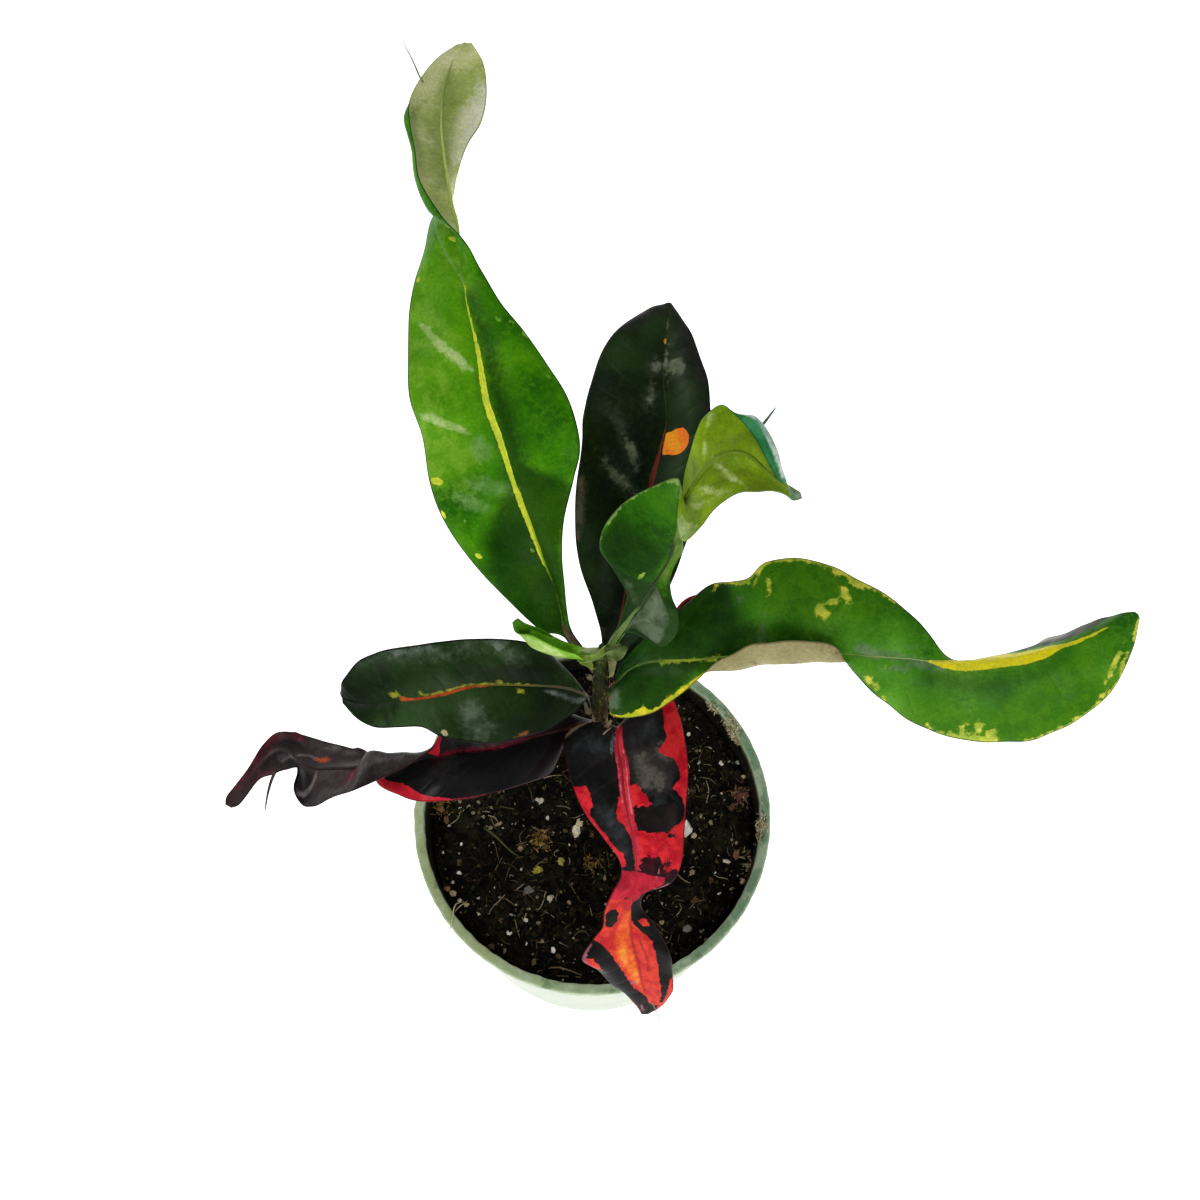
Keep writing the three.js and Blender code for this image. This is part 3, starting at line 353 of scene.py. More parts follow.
# What each leaf looks like: three tones for each face, from its darkest; the colour of its
# margin, how wide that line is and how strong; its veins; its midrib from foot to tip; and
# its coats, painted in this order, some of them markings and some painted highlights, sheen
# and shade. A coat has two tones for each face that it shows on, and its shapes: a spot is
# (run, side, length, breadth, turn), a strip [(run, low, high), ...].
LOOKS = {
    "leaf_back_long": {
        "slot": "leaf_green", "seed": 101, "pucker": 0.08, "vein_gap": 7.5,
        "upper": [(30, 91, 3), (56, 124, 3), (91, 158, 12)],
        "under": [(156, 172, 86), (186, 196, 120), (212, 216, 162)],
        "edge": [(16, 48, 8), 0.45, 0.75], "under_edge": (158, 176, 84), "vein": [(96, 148, 40), 0.07],
        "shine": [0.05, 0.12], "gloss": [0.28, 0.42],
        "rib": [(0, (88, 66, 54)), (0.07, (84, 64, 50)), (0.1, (40, 60, 20)), (0.14, (30, 70, 14)), (0.19, (140, 178, 30)),
                (0.26, (200, 216, 36)), (0.5, (206, 218, 70)), (0.56, (70, 120, 30)), (0.62, (170, 196, 100)), (0.8, (188, 202, 116)),
                (0.86, (146, 160, 88)), (1, (142, 156, 86))],
        "rib_shade": (130, 160, 30),
        "coats": [
            # painted light: the left half and a band beside the crease lighter where light falls on them
            {"upper": ((120, 172, 44), (90, 150, 20)), "blur": 6, "soft": 0.4, "strength": 0.7, "shapes": [
                [(106, -0.3, 0.1), (112, -0.3, 0.4), (120, -0.6, 0.3), (128, -0.8, 0.1)],
                [(56, -1.3, -0.55), (64, -1.3, -0.3), (74, -1.3, -0.45), (84, -1.3, -0.3), (93, -1.3, -0.3),
                 (102, -1.3, -0.7), (112, -1.3, -0.8)]]},
            # painted shade: the base, a band right of the midrib and the middle of the tip's underside darker
            {"upper": ((6, 34, 4), (12, 46, 4)), "under": ((126, 144, 56), (110, 130, 44)), "blur": 4, "soft": 0.45,
             "strength": 0.8, "shapes": [
                [(6, -1.3, 1.3), (26, -1.3, 1.3), (36, -0.8, 1), (45, -0.5, 1.3), (53, -0.2, 1.3), (62, 0, 0.35),
                 (80, 0, 0.3), (104, 0.1, 0.35)], [(136, -0.4, 0.2), (150, -0.5, 0.25), (170, -0.45, 0.2), (184, -0.25, 0.15)],
                [(140, 0.35, 0.6), (160, 0.3, 0.6), (172, 0.3, 0.5)]]},
            # painted sheen: grey-green gloss patches
            {"upper": ((112, 156, 84), (92, 140, 60)), "blur": 2, "soft": 0.3, "strength": 0.75, "shapes": [
                (65.5, -0.25, 6, 4.5, 0), (56.4, -0.3, 4, 9, 20), (52.6, -0.55, 4, 8, 26)]},
            {"under": ((226, 226, 204), (208, 210, 182)), "blur": 4, "soft": 0.5, "shapes": [
                [(146, -1.3, -0.8), (156, -1.3, -0.66), (168, -1.3, -0.6), (178, -1.3, -0.9)]]},
            # painted highlights: pale streaks of reflected light on the puckered left half
            {"upper": ((176, 202, 126), (142, 180, 88)), "blur": 1.2, "soft": 0.3, "strength": 0.9, "ragged": 1.4, "shapes": [
                [(85.2, -0.22, -0.12), (88, -0.4, -0.2), (90.7, -0.56, -0.38), (93, -0.7, -0.54), (95.8, -0.82, -0.7)],
                [(69.4, -0.42, -0.36), (70.4, -0.55, -0.36), (71.6, -0.76, -0.42), (72.8, -0.94, -0.55), (74, -0.94, -0.7)],
                ]},
            {"upper": ((138, 178, 110), (110, 158, 84)), "blur": 0.8, "soft": 0.2, "strength": 0.75, "ragged": 0.3, "shapes": [
                [(107, -0.01, 0.03), (111, -0.15, -0.1), (118, -0.41, -0.35), (124, -0.73, -0.67), (127, -0.89, -0.84)]]},
            {"upper": ((84, 66, 52), (62, 48, 38)), "ragged": 0.4, "shapes": [
                [(-1, -1.3, 1.3), (13, -1.3, 1.3), (15, -0.5, 0.5), (18, -0.16, 0.16)]]},
            {"upper": ((222, 228, 60), (190, 206, 60)), "under": ((190, 196, 132), (176, 186, 120)), "ragged": 0.35,
             "shapes": [
                (58.2, -0.9, 1.8, 3.6, 0), (49.5, -0.96, 2.6, 1.2, 0), (38.4, -0.82, 1.5, 1.7, 0), (107.3, -0.92, 1.4, 1.2, 0),
                (120, -0.08, 1.6, 3.2, 0), (125.8, 0.75, 1.4, 1.6, 0), (184, -0.2, 2.6, 1, 0), (186, -0.6, 1.6, 1.6, 0),
                (181, 0.25, 1.4, 1, 0),
                [(30, -0.02, 0.03), (36, -0.05, 0.04), (50, -0.055, 0.035), (60, -0.04, 0.04), (70, -0.05, 0.045),
                 (78, -0.06, 0.035), (88, -0.03, 0.04), (98, -0.01, 0.04), (107, 0, 0.04)]]},
            {"upper": ((124, 170, 60), (100, 152, 40)), "ragged": 0.8, "strength": 0.8, "shapes": [
                (97.8, 0.62, 1.1, 1.2, 0), (97.3, 0.88, 1.1, 1.8, 0), (94.2, 0.97, 1.8, 1.1, 0), (84.5, 0.9, 1.3, 1, 0),
                (62.4, -0.93, 0.9, 0.9, 0), (48, -0.72, 0.8, 0.8, 0), (66, 0.86, 2, 0.6, 60), (74, 0.95, 1.6, 0.6, 0), (38, -0.1, 0.8, 0.8, 0)]},
        ],
    },
    "leaf_back_dark": {
        "slot": "leaf_dark", "seed": 102, "pucker": 0.08, "vein_gap": 7,
        "upper": [(10, 21, 6), (19, 37, 12), (34, 56, 25)],
        "under": [(40, 30, 30), (60, 44, 40), (80, 60, 50)],
        "edge": [(6, 5, 5), 0.5, 0.7], "vein": [(50, 64, 40), 0.05],
        "shine": [0.07, 0.15], "gloss": [0.26, 0.4],
        "rib": [(0, (60, 34, 26)), (0.3, (110, 44, 30)), (0.6, (124, 50, 34)), (0.65, (100, 36, 24)), (0.7, (56, 26, 16)), (0.76, (26, 18, 12)),
                (1, (12, 14, 9))],
        "rib_shade": (50, 20, 14),
        "coats": [
            # painted sheen: the soft grey-green halo round the gloss patches
            {"upper": ((54, 68, 50), (38, 52, 38)), "blur": 2, "soft": 0.4, "strength": 0.75, "shapes": [
                (86.4, -0.14, 5, 4.6, 0), (86, 0.34, 7.4, 7.4, 0), (78, -0.2, 6.4, 3, 8), (62, -0.36, 10, 3.6, -26),
                (92, 0.4, 8, 5, 0), (56.5, -0.42, 12, 3.4, -48), (71, -0.56, 9, 3, -30)]},
            # painted highlights: the pale gloss patches and streaks
            {"upper": ((122, 126, 104), (88, 100, 80)), "blur": 1, "soft": 0.3, "ragged": 1.4, "strength": 0.85, "shapes": [
                (86.6, -0.12, 3, 2.2, 0), (86.2, 0.36, 4.4, 4.4, 0), (78.4, -0.18, 4.6, 1.2, 8), (63, -0.34, 7, 2, -28),
                (57, -0.5, 7, 0.8, -50), (55.4, -0.34, 8, 0.9, -50), (88.5, 0.08, 5, 0.6, 0)]},
            {"upper": ((42, 36, 40), (28, 28, 28)), "blur": 3, "soft": 0.45, "strength": 0.7, "shapes": [
                [(72, 0.8, 1.3), (84, 0.75, 1.3), (96, 0.4, 1.3), (104, 0.1, 1.3)],
                [(94, -1.3, -0.7), (100, -1.3, -0.4), (105, -1.3, -0.1)]]},
            # painted highlights: grey-brown sheen along the lower left margin and near the foot
            {"upper": ((96, 86, 76), (60, 60, 52)), "blur": 1.2, "soft": 0.4, "strength": 0.75, "shapes": [
                [(41, -1.03, -0.93), (48, -1, -0.86), (56, -0.98, -0.9)], (15.5, -0.8, 2.4, 1.4, 0)]},
            {"upper": ((116, 52, 36), (96, 36, 22)), "ragged": 0.3, "shapes": [
                [(48, -0.05, 0.04), (58, -0.06, 0.04), (66, -0.025, 0.03), (72, -0.01, 0.02)]]},
            {"upper": ((255, 160, 30), (255, 128, 36)), "ragged": 0.25, "shapes": [
                (66.4, 0.31, 6.8, 6.4, 0), [(63.4, 0.07, 0.3), (66, 0.06, 0.4), (69.2, 0.05, 0.3)]]},
            {"upper": ((206, 130, 40), (186, 110, 34)), "ragged": 0.3, "shapes": [
                (94, 0, 2.2, 1, 0)]},
            {"upper": ((110, 104, 62), (84, 84, 50)), "ragged": 0.5, "shapes": [(98.6, 0.06, 3.4, 0.6, 0)]},
        ],
    },
    "leaf_top_twisted": {
        "slot": "leaf_green", "seed": 103, "pucker": 0.08, "vein_gap": 6,
        "upper": [(24, 72, 0), (42, 104, 0), (68, 132, 2)],
        "under": [(99, 132, 4), (125, 158, 11), (158, 186, 37)],
        "edge": [(36, 72, 16), 0.4, 0.7], "under_edge": (116, 146, 60), "vein": [(80, 130, 40), 0.06],
        "shine": [0.06, 0.1], "gloss": [0.34, 0.48],
        "rib": [(0, (84, 104, 40)), (0.1, (122, 146, 80)), (0.15, (106, 132, 70)), (0.19, (34, 58, 24)), (0.42, (24, 48, 12)),
                (0.47, (110, 138, 40)), (0.6, (112, 140, 16)), (1, (112, 140, 16))],
        "rib_shade": (60, 80, 24),
        "coats": [
            {"upper": ((30, 50, 24), (22, 42, 16)), "blur": 2.4, "soft": 0.4, "strength": 0.85, "shapes": [
                [(6, -1.3, 1.3), (18, -1.3, 1.3), (24, -1.1, 1.3), (27, -0.9, 1.1)]]},
            {"upper": ((14, 44, 2), (20, 54, 4)), "blur": 2, "soft": 0.4, "strength": 0.8, "shapes": [
                [(27, -0.9, -0.04), (31, -1, -0.06), (37, -0.9, -0.05)], [(24, 0.6, 1.3), (34, 0.3, 1.3)]]},
            # painted sheen: grey-green gloss on the lobe at the foot
            {"upper": ((98, 114, 88), (68, 88, 58)), "blur": 1.2, "soft": 0.3, "ragged": 1.2, "strength": 0.9, "shapes": [
                [(8, 0.08, 0.4), (11.3, 0.1, 0.53), (14, 0.1, 0.74), (17, 0.1, 0.88), (19.5, 0.1, 0.75), (22.5, 0.12, 0.72),
                 (24.7, 0.14, 0.46), (26.5, 0.1, 0.2)]]},
            # painted sheen: grey-green gloss streaks near the foot
            {"upper": ((94, 112, 84), (58, 80, 50)), "blur": 1.2, "soft": 0.4, "ragged": 1.6, "strength": 0.7, "shapes": [
                [(17, -0.6, -0.2), (20, -0.75, -0.35), (23, -0.7, -0.5)]]},
            {"upper": ((146, 184, 60), (110, 152, 50)), "ragged": 0.8, "shapes": [
                (27.2, -0.26, 3, 0.8, 24), (31.5, -0.99, 1.4, 0.8, 0), (35, -0.97, 1.2, 0.8, 0)]},
            {"upper": ((104, 140, 50), (80, 118, 34)), "under": ((140, 174, 70), (116, 150, 44)), "blur": 1.6,
             "soft": 0.4, "strength": 0.85, "shapes": [
                [(30, 0, 0.5), (36, 0, 0.9), (42, 0, 1.3), (48, 0.1, 1.3)], [(53, -0.7, 0.2), (58, -0.7, 0), (64, -0.9, -0.5)]]},
            # painted sheen: a thin grey-green gloss streak
            {"upper": ((122, 136, 108), (92, 110, 80)), "blur": 0.8, "soft": 0.4, "ragged": 1.8, "strength": 0.55, "shapes": [
                [(12, 0.24, 0.3), (18, 0.3, 0.36), (24, 0.26, 0.32)]]},
            {"upper": ((140, 172, 84), (104, 146, 54)), "under": ((166, 190, 120), (140, 172, 80)), "ragged": 0.8,
             "shapes": [
                [(27, -1.3, -0.995), (33, -1.3, -0.985), (36, -1.3, -0.95), (38, -1.3, -0.985), (40, -1.3, -0.96), (43, -1.3, -0.985),
                 (46, -1.3, -0.96), (48.5, -1.3, -0.88), (51, -1.3, -0.85), (53, -1.3, -0.95)],
                [(55.6, -1.3, -0.8), (59, -1.3, -0.62), (63, -1.3, -0.86)]]},
            {"upper": ((100, 130, 40), (84, 112, 30)), "under": ((92, 110, 22), (80, 100, 14)), "blur": 1.6, "soft": 0.4,
             "ragged": 1.2, "strength": 0.7, "shapes": [
                (68, -0.2, 9, 2.2, -20), (72, -0.5, 12, 2.4, -8), (64.5, -0.1, 5, 2, 30), [(74, -1.1, -0.7), (88, -1.1, -0.6)],
                (60, 0.4, 3, 6, 0), (75, 0.2, 8, 1.6, -10)]},
            {"under": ((196, 210, 140), (170, 190, 104)), "blur": 0.9, "soft": 0.4, "ragged": 1.5, "strength": 0.75, "shapes": [
                (65.2, -0.4, 9, 1, -44), (61.4, -0.44, 6, 0.9, -30), (70.4, -0.36, 7, 0.8, -56), (58.8, -0.72, 3, 1.6, 30), (69.1, 0.9, 2.4, 1, 60), (65.5, 0.46, 2.6, 1, 50)]},
            # painted sheen: teal-green on the upper face of the curled right half
            {"upper": ((34, 118, 66), (66, 150, 98)), "blur": 1.2, "soft": 0.4, "shapes": [
                [(62, 0.1, 1.3), (76, 0.1, 1.3), (84, 0.1, 1.3), (90, 0.1, 1.3)]]},
            # painted sheen: teal streaks on the curled right half
            {"upper": ((40, 70, 40), (70, 150, 100)), "blur": 1, "soft": 0.4, "ragged": 1.8, "strength": 0.7, "shapes": [
                [(64, 0.2, 0.34), (72, 0.2, 0.4), (80, 0.2, 0.34)], (76, 0.44, 6, 0.8, 10), (83, 0.4, 5, 0.8, 0)]},
            # painted highlight: whitish teal along the edge of the curled right half
            {"upper": ((206, 220, 208), (140, 184, 156)), "blur": 0.8, "soft": 0.4, "ragged": 1.2, "shapes": [
                [(70, 0.55, 0.8), (76, 0.5, 0.8), (84, 0.5, 0.82), (88, 0.4, 0.8)]]},
            {"upper": ((166, 190, 164), (128, 160, 124)), "under": ((150, 176, 146), (112, 146, 108)), "blur": 0.8,
             "soft": 0.4, "ragged": 1.2, "shapes": [[(90, -1.3, 1.3), (98, -1.3, 1.3)]]},
        ],
    },
    "leaf_right_long": {
        "slot": "leaf_green", "seed": 104, "pucker": 0.08, "vein_gap": 7,
        "upper": [(38, 98, 12), (66, 134, 18), (96, 160, 40)],
        "under": [(126, 120, 76), (148, 140, 94), (166, 158, 112)],
        "edge": [(14, 34, 10), 0.4, 0.75], "under_edge": (108, 96, 64), "vein": [(80, 124, 40), 0.07],
        "shine": [0.08, 0.12], "gloss": [0.28, 0.42],
        "rib": [(0, (70, 84, 40)), (0.07, (74, 104, 50)), (0.14, (80, 110, 56)), (0.18, (170, 184, 50)), (0.26, (130, 160, 40)),
                (0.5, (120, 150, 60)), (0.6, (206, 206, 120)), (0.66, (228, 220, 44)), (0.86, (226, 220, 60)), (0.96, (196, 204, 110)), (1, (190, 190, 110))],
        "rib_shade": (120, 140, 40),
        "coats": [
            {"upper": ((14, 42, 8), (25, 60, 12)), "blur": 5, "soft": 0.45, "strength": 0.85, "shapes": [
                [(0, -1.3, 1.3), (8, -1.3, 1.3), (24, -1.3, 1.3), (34, -1.3, 0.6), (40, -0.6, 0.2), (50, -0.2, 0.2), (66, -0.2, 0.2)]]},
            {"upper": ((20, 60, 10), (28, 74, 13)), "blur": 5, "soft": 0.45, "strength": 0.6, "shapes": [
                [(90, 0.1, 0.45), (104, 0.15, 0.55), (118, 0.15, 0.4), (126, 0.1, 0.3)]]},
            {"upper": ((76, 134, 10), (58, 118, 6)), "under": ((104, 92, 62), (118, 106, 74)), "blur": 5, "soft": 0.45, "strength": 0.8, "shapes": [
                [(44, -1.1, -0.6), (52, -1.1, -0.35), (60, -1, -0.3), (68, -0.9, -0.3), (74, -0.8, -0.4)],
                [(90, 0.6, 1.3), (100, 0.66, 1.3), (112, 0.6, 1.3), (124, 0.3, 1.3), (134, 0.1, 1.3)]]},
            # painted sheen: grey-teal gloss spots and streaks on the upper face, brown spots on the underside
            {"upper": ((112, 136, 100), (84, 116, 74)), "under": ((116, 96, 66), (98, 82, 58)), "blur": 1.6, "soft": 0.4,
             "strength": 0.8, "ragged": 1.4, "shapes": [
                (52, 0.35, 0.8, 1.4, 0), (56.4, 0.5, 0.9, 0.9, 0), (61, 0.3, 0.8, 1.6, 30), (47, 0.6, 0.7, 1.4, 20),
                [(7, 0.4, 0.9), (9, 0.3, 0.85), (10.5, 0.4, 0.7)], [(71, -0.16, 0), (78, -0.14, 0.06), (88, -0.1, 0.14), (95, 0, 0.12)],
                (84, 0.25, 3, 0.8, -14), (47.7, -0.14, 1, 4.4, 12), (41, -0.72, 1.2, 1.4, 0), (72, 0.9, 6, 0.7, 0)]},
            # painted shade: the far half near the tip darker, on both faces
            {"upper": ((64, 62, 54), (46, 46, 38)), "under": ((64, 62, 54), (46, 46, 38)), "blur": 1.2, "soft": 0.3,
             "strength": 0.9, "shapes": [[(109, -1.3, -0.42), (118, -1.3, -0.3), (126, -1.3, -0.3), (132, -1.3, -0.5), (138, -1.3, -0.9)]]},
            {"upper": ((236, 222, 50), (190, 196, 40)), "ragged": 1.2, "soft": 0.12, "shapes": [
                [(8.5, 0.97, 1.3), (11, 0.93, 1.3), (14, 0.9, 1.3), (16.5, 0.78, 1.3), (18, 0.93, 1.3), (21, 0.96, 1.3),
                 (24, 0.86, 1.3), (27, 0.82, 1.3), (30, 0.84, 1.3), (35, 0.86, 1.3)]]},
            {"upper": ((222, 220, 76), (168, 190, 56)), "under": ((176, 168, 100), (160, 152, 92)), "ragged": 1.5, "soft": 0.18,
             "shapes": [
                [(22, 0.01, 0.09), (27, 0.02, 0.09), (31, -0.02, 0.03), (37, -0.03, 0.1)],
                [(33, -1.3, -0.97), (38, -1.3, -0.95), (41, -1.3, -0.9), (44, -1.3, -0.93), (46, -1.3, -0.86),
                 (48, -1.3, -0.95), (50, -1.3, -0.985), (53, -1.3, -0.95), (57, -1.3, -0.965), (62, -1.3, -0.97),
                 (66, -1.3, -0.93), (69, -1.3, -0.86), (72, -1.3, -0.95), (77, -1.3, -0.99)],
                (49.8, -0.68, 1.1, 3.4, 0), (62, -0.43, 2.8, 4.4, -40), (66.6, -0.7, 2.6, 4, -34), (64.4, -0.57, 3, 1.4, -40),
                (32.6, -0.9, 0.9, 1.8, 0), (42.4, -0.9, 1, 1.9, 0), (45.4, -0.86, 0.9, 2.8, 0), (63.4, -0.93, 2.2, 1, 0)]},
            {"upper": ((222, 222, 86), (168, 192, 62)), "under": ((176, 168, 100), (160, 152, 92)), "ragged": 1.5, "soft": 0.18,
             "shapes": [
                (81, 0.3, 1.1, 1, 0), (80.6, 0.84, 2.6, 1.4, 0), (85, 0.97, 1.2, 1.2, 0), (97, 0.97, 1.4, 1, 0),
                (103.9, 0.9, 1.4, 2.6, 0), (107.3, 0.85, 1.8, 2.8, 0), (110.6, 0.92, 3, 2, 0),
                [(99, 0.97, 1.3), (102, 0.95, 1.3), (105, 0.93, 1.3), (110, 0.93, 1.3), (112.6, 0.95, 1.3)],
                [(118, 0.985, 1.3), (130, 0.97, 1.3), (140, 0.96, 1.3)], (130, 0.96, 1.6, 1.2, 0), (135, 0.93, 1.6, 1.6, 0),
                (138.2, 0.62, 3.4, 2, -20), (139.6, 0.84, 2.2, 2, 0), (136.6, 0.74, 1.8, 1.3, 0),
                [(143, 0.8, 1.3), (145.5, 0.5, 1.3), (147.5, 0.2, 1.3)]]},
            {"upper": ((232, 218, 30), (214, 206, 40)), "under": ((226, 214, 70), (206, 200, 80)), "ragged": 0.4,
             "shapes": [
                [(90, -0.2, 0.02), (95, -0.3, 0.09), (98, -0.4, 0.13), (104, -0.4, 0.125), (110, -0.3, 0.11), (117, -0.2, 0.12),
                 (122, -0.15, 0.09), (125, -0.1, 0.03), (138, -0.06, 0)]]},
        ],
    },
    "leaf_left_broad": {
        "slot": "leaf_dark", "seed": 105, "pucker": 0.08, "vein_gap": 6,
        "upper": [(17, 34, 11), (30, 53, 20), (48, 74, 35)],
        "under": [(50, 36, 36), (70, 50, 46), (90, 70, 60)],
        "edge": [(10, 6, 9), 0.7, 0.9], "vein": [(50, 70, 44), 0.05],
        "shine": [0.1, 0.15], "gloss": [0.26, 0.42],
        "rib": [(0, (90, 94, 74)), (0.2, (78, 84, 60)), (0.3, (110, 112, 50)), (0.46, (130, 116, 40)), (0.54, (160, 80, 28)),
                (0.77, (176, 70, 26)), (0.8, (36, 30, 16)), (1, (14, 22, 10))],
        "rib_shade": (110, 60, 24),
        "coats": [
            {"upper": ((8, 18, 6), (14, 27, 10)), "blur": 5, "soft": 0.45, "strength": 0.75, "shapes": [
                [(0, -1.3, 1.3), (10, -1.3, 0.3), (26, -1.3, -0.75)], [(10, 0.1, 0.9), (24, 0.1, 0.5), (38, 0.1, 0.3)],
                [(62, -1.3, 1.3), (72, -1.3, 1.3)]]},
            # painted sheen: soft grey-green gloss patches
            {"upper": ((112, 128, 106), (80, 98, 76)), "blur": 3, "soft": 0.45, "strength": 0.65, "shapes": [
                (47.5, 0.84, 9, 2.4, 10), (36, -0.52, 6, 6.4, 0), (33.6, -0.76, 6, 4, 0), (34.5, 0.87, 4, 2.4, 0),
                (25, 0.7, 4, 2.4, 20)]},
            # painted highlights: pale streaks from the foot and along the margins
            {"upper": ((128, 138, 130), (88, 104, 92)), "blur": 0.9, "soft": 0.4, "ragged": 1.4, "strength": 0.7, "shapes": [
                [(25, 0.9, 1.3), (27.6, 0.72, 1.3), (30, 0.92, 1.3)],
                [(4, -0.8, -0.45), (7, -0.5, -0.34), (10, -0.35, -0.22), (14, -0.2, -0.12), (17, -0.13, -0.1)],
                [(44, 0.86, 0.95), (48, 0.84, 0.93), (52, 0.86, 0.92)]]},
            # painted shade: dark crease shadows
            {"upper": ((7, 12, 6), (10, 16, 8)), "ragged": 0.6, "blur": 1.6, "soft": 0.4, "strength": 0.8, "shapes": [
                (56, -0.3, 5, 1.2, 84), (57.6, -0.62, 5, 1.2, 70)]},
            {"upper": ((198, 88, 36), (166, 62, 28)), "ragged": 0.35, "shapes": [
                [(30, -0.03, -0.01), (36, -0.055, -0.005), (41, -0.07, 0.01), (46, -0.075, 0.015), (50, -0.08, 0.02),
                 (53, -0.07, 0.02), (54.6, -0.03, 0.01)], (53.4, 0.05, 1.8, 0.6, 0)]},
            {"upper": ((164, 104, 50), (128, 80, 40)), "ragged": 0.9, "soft": 0.15, "shapes": [(21.8, -0.95, 3.4, 1.4, 0)]},
            {"upper": ((178, 172, 48), (136, 138, 42)), "ragged": 0.8, "soft": 0.12, "shapes": [
                [(18, 0.01, 0.035), (24, 0, 0.035), (28, 0.01, 0.055), (32, 0.01, 0.045), (36, 0.02, 0.055), (42, 0.02, 0.05),
                 (47, 0.02, 0.045), (50, 0.03, 0.04)],
                (55.2, 0.12, 2.6, 1.7, 0), (28.4, 0.05, 1.6, 1, 0), (22.8, -0.12, 2, 1.2, 0), (49, 0.08, 1, 1, 0)]},
            {"upper": ((182, 172, 128), (150, 144, 104)), "ragged": 0.5, "shapes": [(43.6, -0.9, 1.6, 1.7, 0)]},
        ],
    },
    "leaf_left_purple": {
        "slot": "leaf_purple", "seed": 106, "pucker": 0.08, "vein_gap": 6.5,
        "upper": [(6, 8, 9), (14, 15, 16), (28, 26, 28)],
        "under": [(18, 10, 12), (34, 24, 26), (56, 44, 45)],
        "edge": [(60, 8, 22), 0.4, 0.7], "under_edge": (34, 18, 22), "vein": [(60, 48, 54), 0.05],
        "shine": [0.12, 0.14], "gloss": [0.24, 0.38],
        "rib": [(0, (58, 28, 28)), (0.14, (56, 16, 24)), (0.22, (120, 22, 42)), (0.38, (110, 20, 38)), (0.42, (46, 34, 36)),
                (1, (38, 28, 30))],
        "rib_shade": (46, 26, 30),
        "coats": [
            {"upper": ((44, 42, 42), (32, 30, 31)), "under": ((80, 68, 66), (56, 44, 46)), "blur": 4, "soft": 0.45,
             "strength": 0.7, "shapes": [
                (52, -0.4, 10, 4, 0), (73, -0.75, 7, 2.6, 0), [(40, -0.6, 0.9), (60, -0.4, 0.8), (80, -0.6, 0.8)],
                (24, 0.3, 10, 5, 0)]},
            # painted highlights: the pale crescent where the blade curls, and grey sheen patches
            {"upper": ((112, 106, 108), (80, 74, 78)), "under": ((112, 106, 108), (80, 74, 78)), "blur": 1.4,
             "soft": 0.45, "strength": 0.7, "shapes": [
                [(87, 0.12, 0.2), (90, 0.2, 0.34), (95, 0.28, 0.4)], (71, -0.8, 6, 1.2, 0), (60, 0.75, 7, 1, 0)]},
            {"upper": ((120, 34, 54), (84, 18, 34)), "ragged": 1, "soft": 0.3, "strength": 0.85, "shapes": [
                [(19, -0.03, 0.04), (24, -0.05, 0.07), (30, -0.055, 0.06), (38, -0.06, 0.06), (46, -0.07, 0.06)]]},
            {"upper": ((190, 34, 56), (150, 26, 46)), "ragged": 0.6, "shapes": [
                [(27, -0.05, -0.03), (30, -0.05, -0.03), (32, -0.05, -0.03)], [(36, -0.055, -0.03), (44, -0.06, -0.03)],
                [(29, -1.3, -0.99), (39, -1.3, -0.965)]]},
            {"upper": ((226, 40, 60), (196, 32, 54)), "ragged": 0.6, "shapes": [
                [(42.6, 0.8, 1.3), (43.8, 0.45, 1.3), (44.6, 0.05, 1.3), (46, 0.08, 1.3), (47.4, 0.3, 1.3), (49, 0.62, 1.3)]]},
            {"upper": ((226, 40, 56), (200, 30, 48)), "ragged": 0.5, "shapes": [
                [(38, -1.3, -0.97), (43, -1.3, -0.91), (46, -1.3, -0.84), (49, -1.3, -0.7), (52, -1.3, -0.6), (55, -1.3, -0.64),
                 (58, -1.3, -0.55), (61, -1.3, -0.6), (64, -1.3, -0.9)]]},
            # painted shade: dark inside the curled lobe on the underside
            {"under": ((12, 10, 12), (20, 15, 18)), "blur": 1.2, "soft": 0.4, "strength": 0.85, "shapes": [
                [(81.5, 0.2, 1.3), (84, 0.16, 1.3), (88, 0.1, 1.3), (92, 0.3, 1.3)]]},
            # painted highlight: pale lines along the curled edge on the underside
            {"under": ((128, 120, 122), (92, 84, 88)), "blur": 0.7, "soft": 0.4, "strength": 0.8, "shapes": [
                [(79.6, -0.1, 0), (80.6, 0.1, 0.3), (82.2, 0.4, 0.6), (84.4, 0.66, 0.84), (86, 0.84, 0.94)],
                [(78, -0.36, -0.3), (83, -0.42, -0.34), (87, -0.18, -0.1), (91, 0.2, 0.3), (94, 0.5, 0.6)]]},
            {"upper": ((98, 20, 40), (60, 14, 26)), "under": ((110, 26, 48), (72, 20, 32)), "blur": 2, "soft": 0.4, "ragged": 0.8,
             "strength": 0.8, "shapes": [
                [(84, -1.3, -0.8), (93, -1.3, -0.7), (101, -1.3, -0.6), (112, -1.3, -0.5)], [(96, 0.8, 1.3), (106, 0.7, 1.3)],
                (102, -0.3, 8, 2, 0), (66, 0.2, 9, 4, 20)]},
            {"upper": ((186, 74, 38), (140, 46, 30)), "under": ((186, 74, 38), (140, 46, 30)), "ragged": 1, "soft": 0.2, "shapes": [
                (78.5, -0.35, 4, 1.8, 10)]},
        ],
    },
    "leaf_front_red": {
        "slot": "leaf_red", "seed": 107, "pucker": 0.1, "vein_gap": 6.5,
        "upper": [(9, 10, 10), (17, 17, 17), (32, 29, 29)],
        "under": [(120, 30, 50), (160, 40, 60), (190, 60, 80)],
        "edge": [(60, 10, 20), 0.35, 0.75], "vein": [(80, 66, 72), 0.06],
        "shine": [0.06, 0.16], "gloss": [0.26, 0.42],
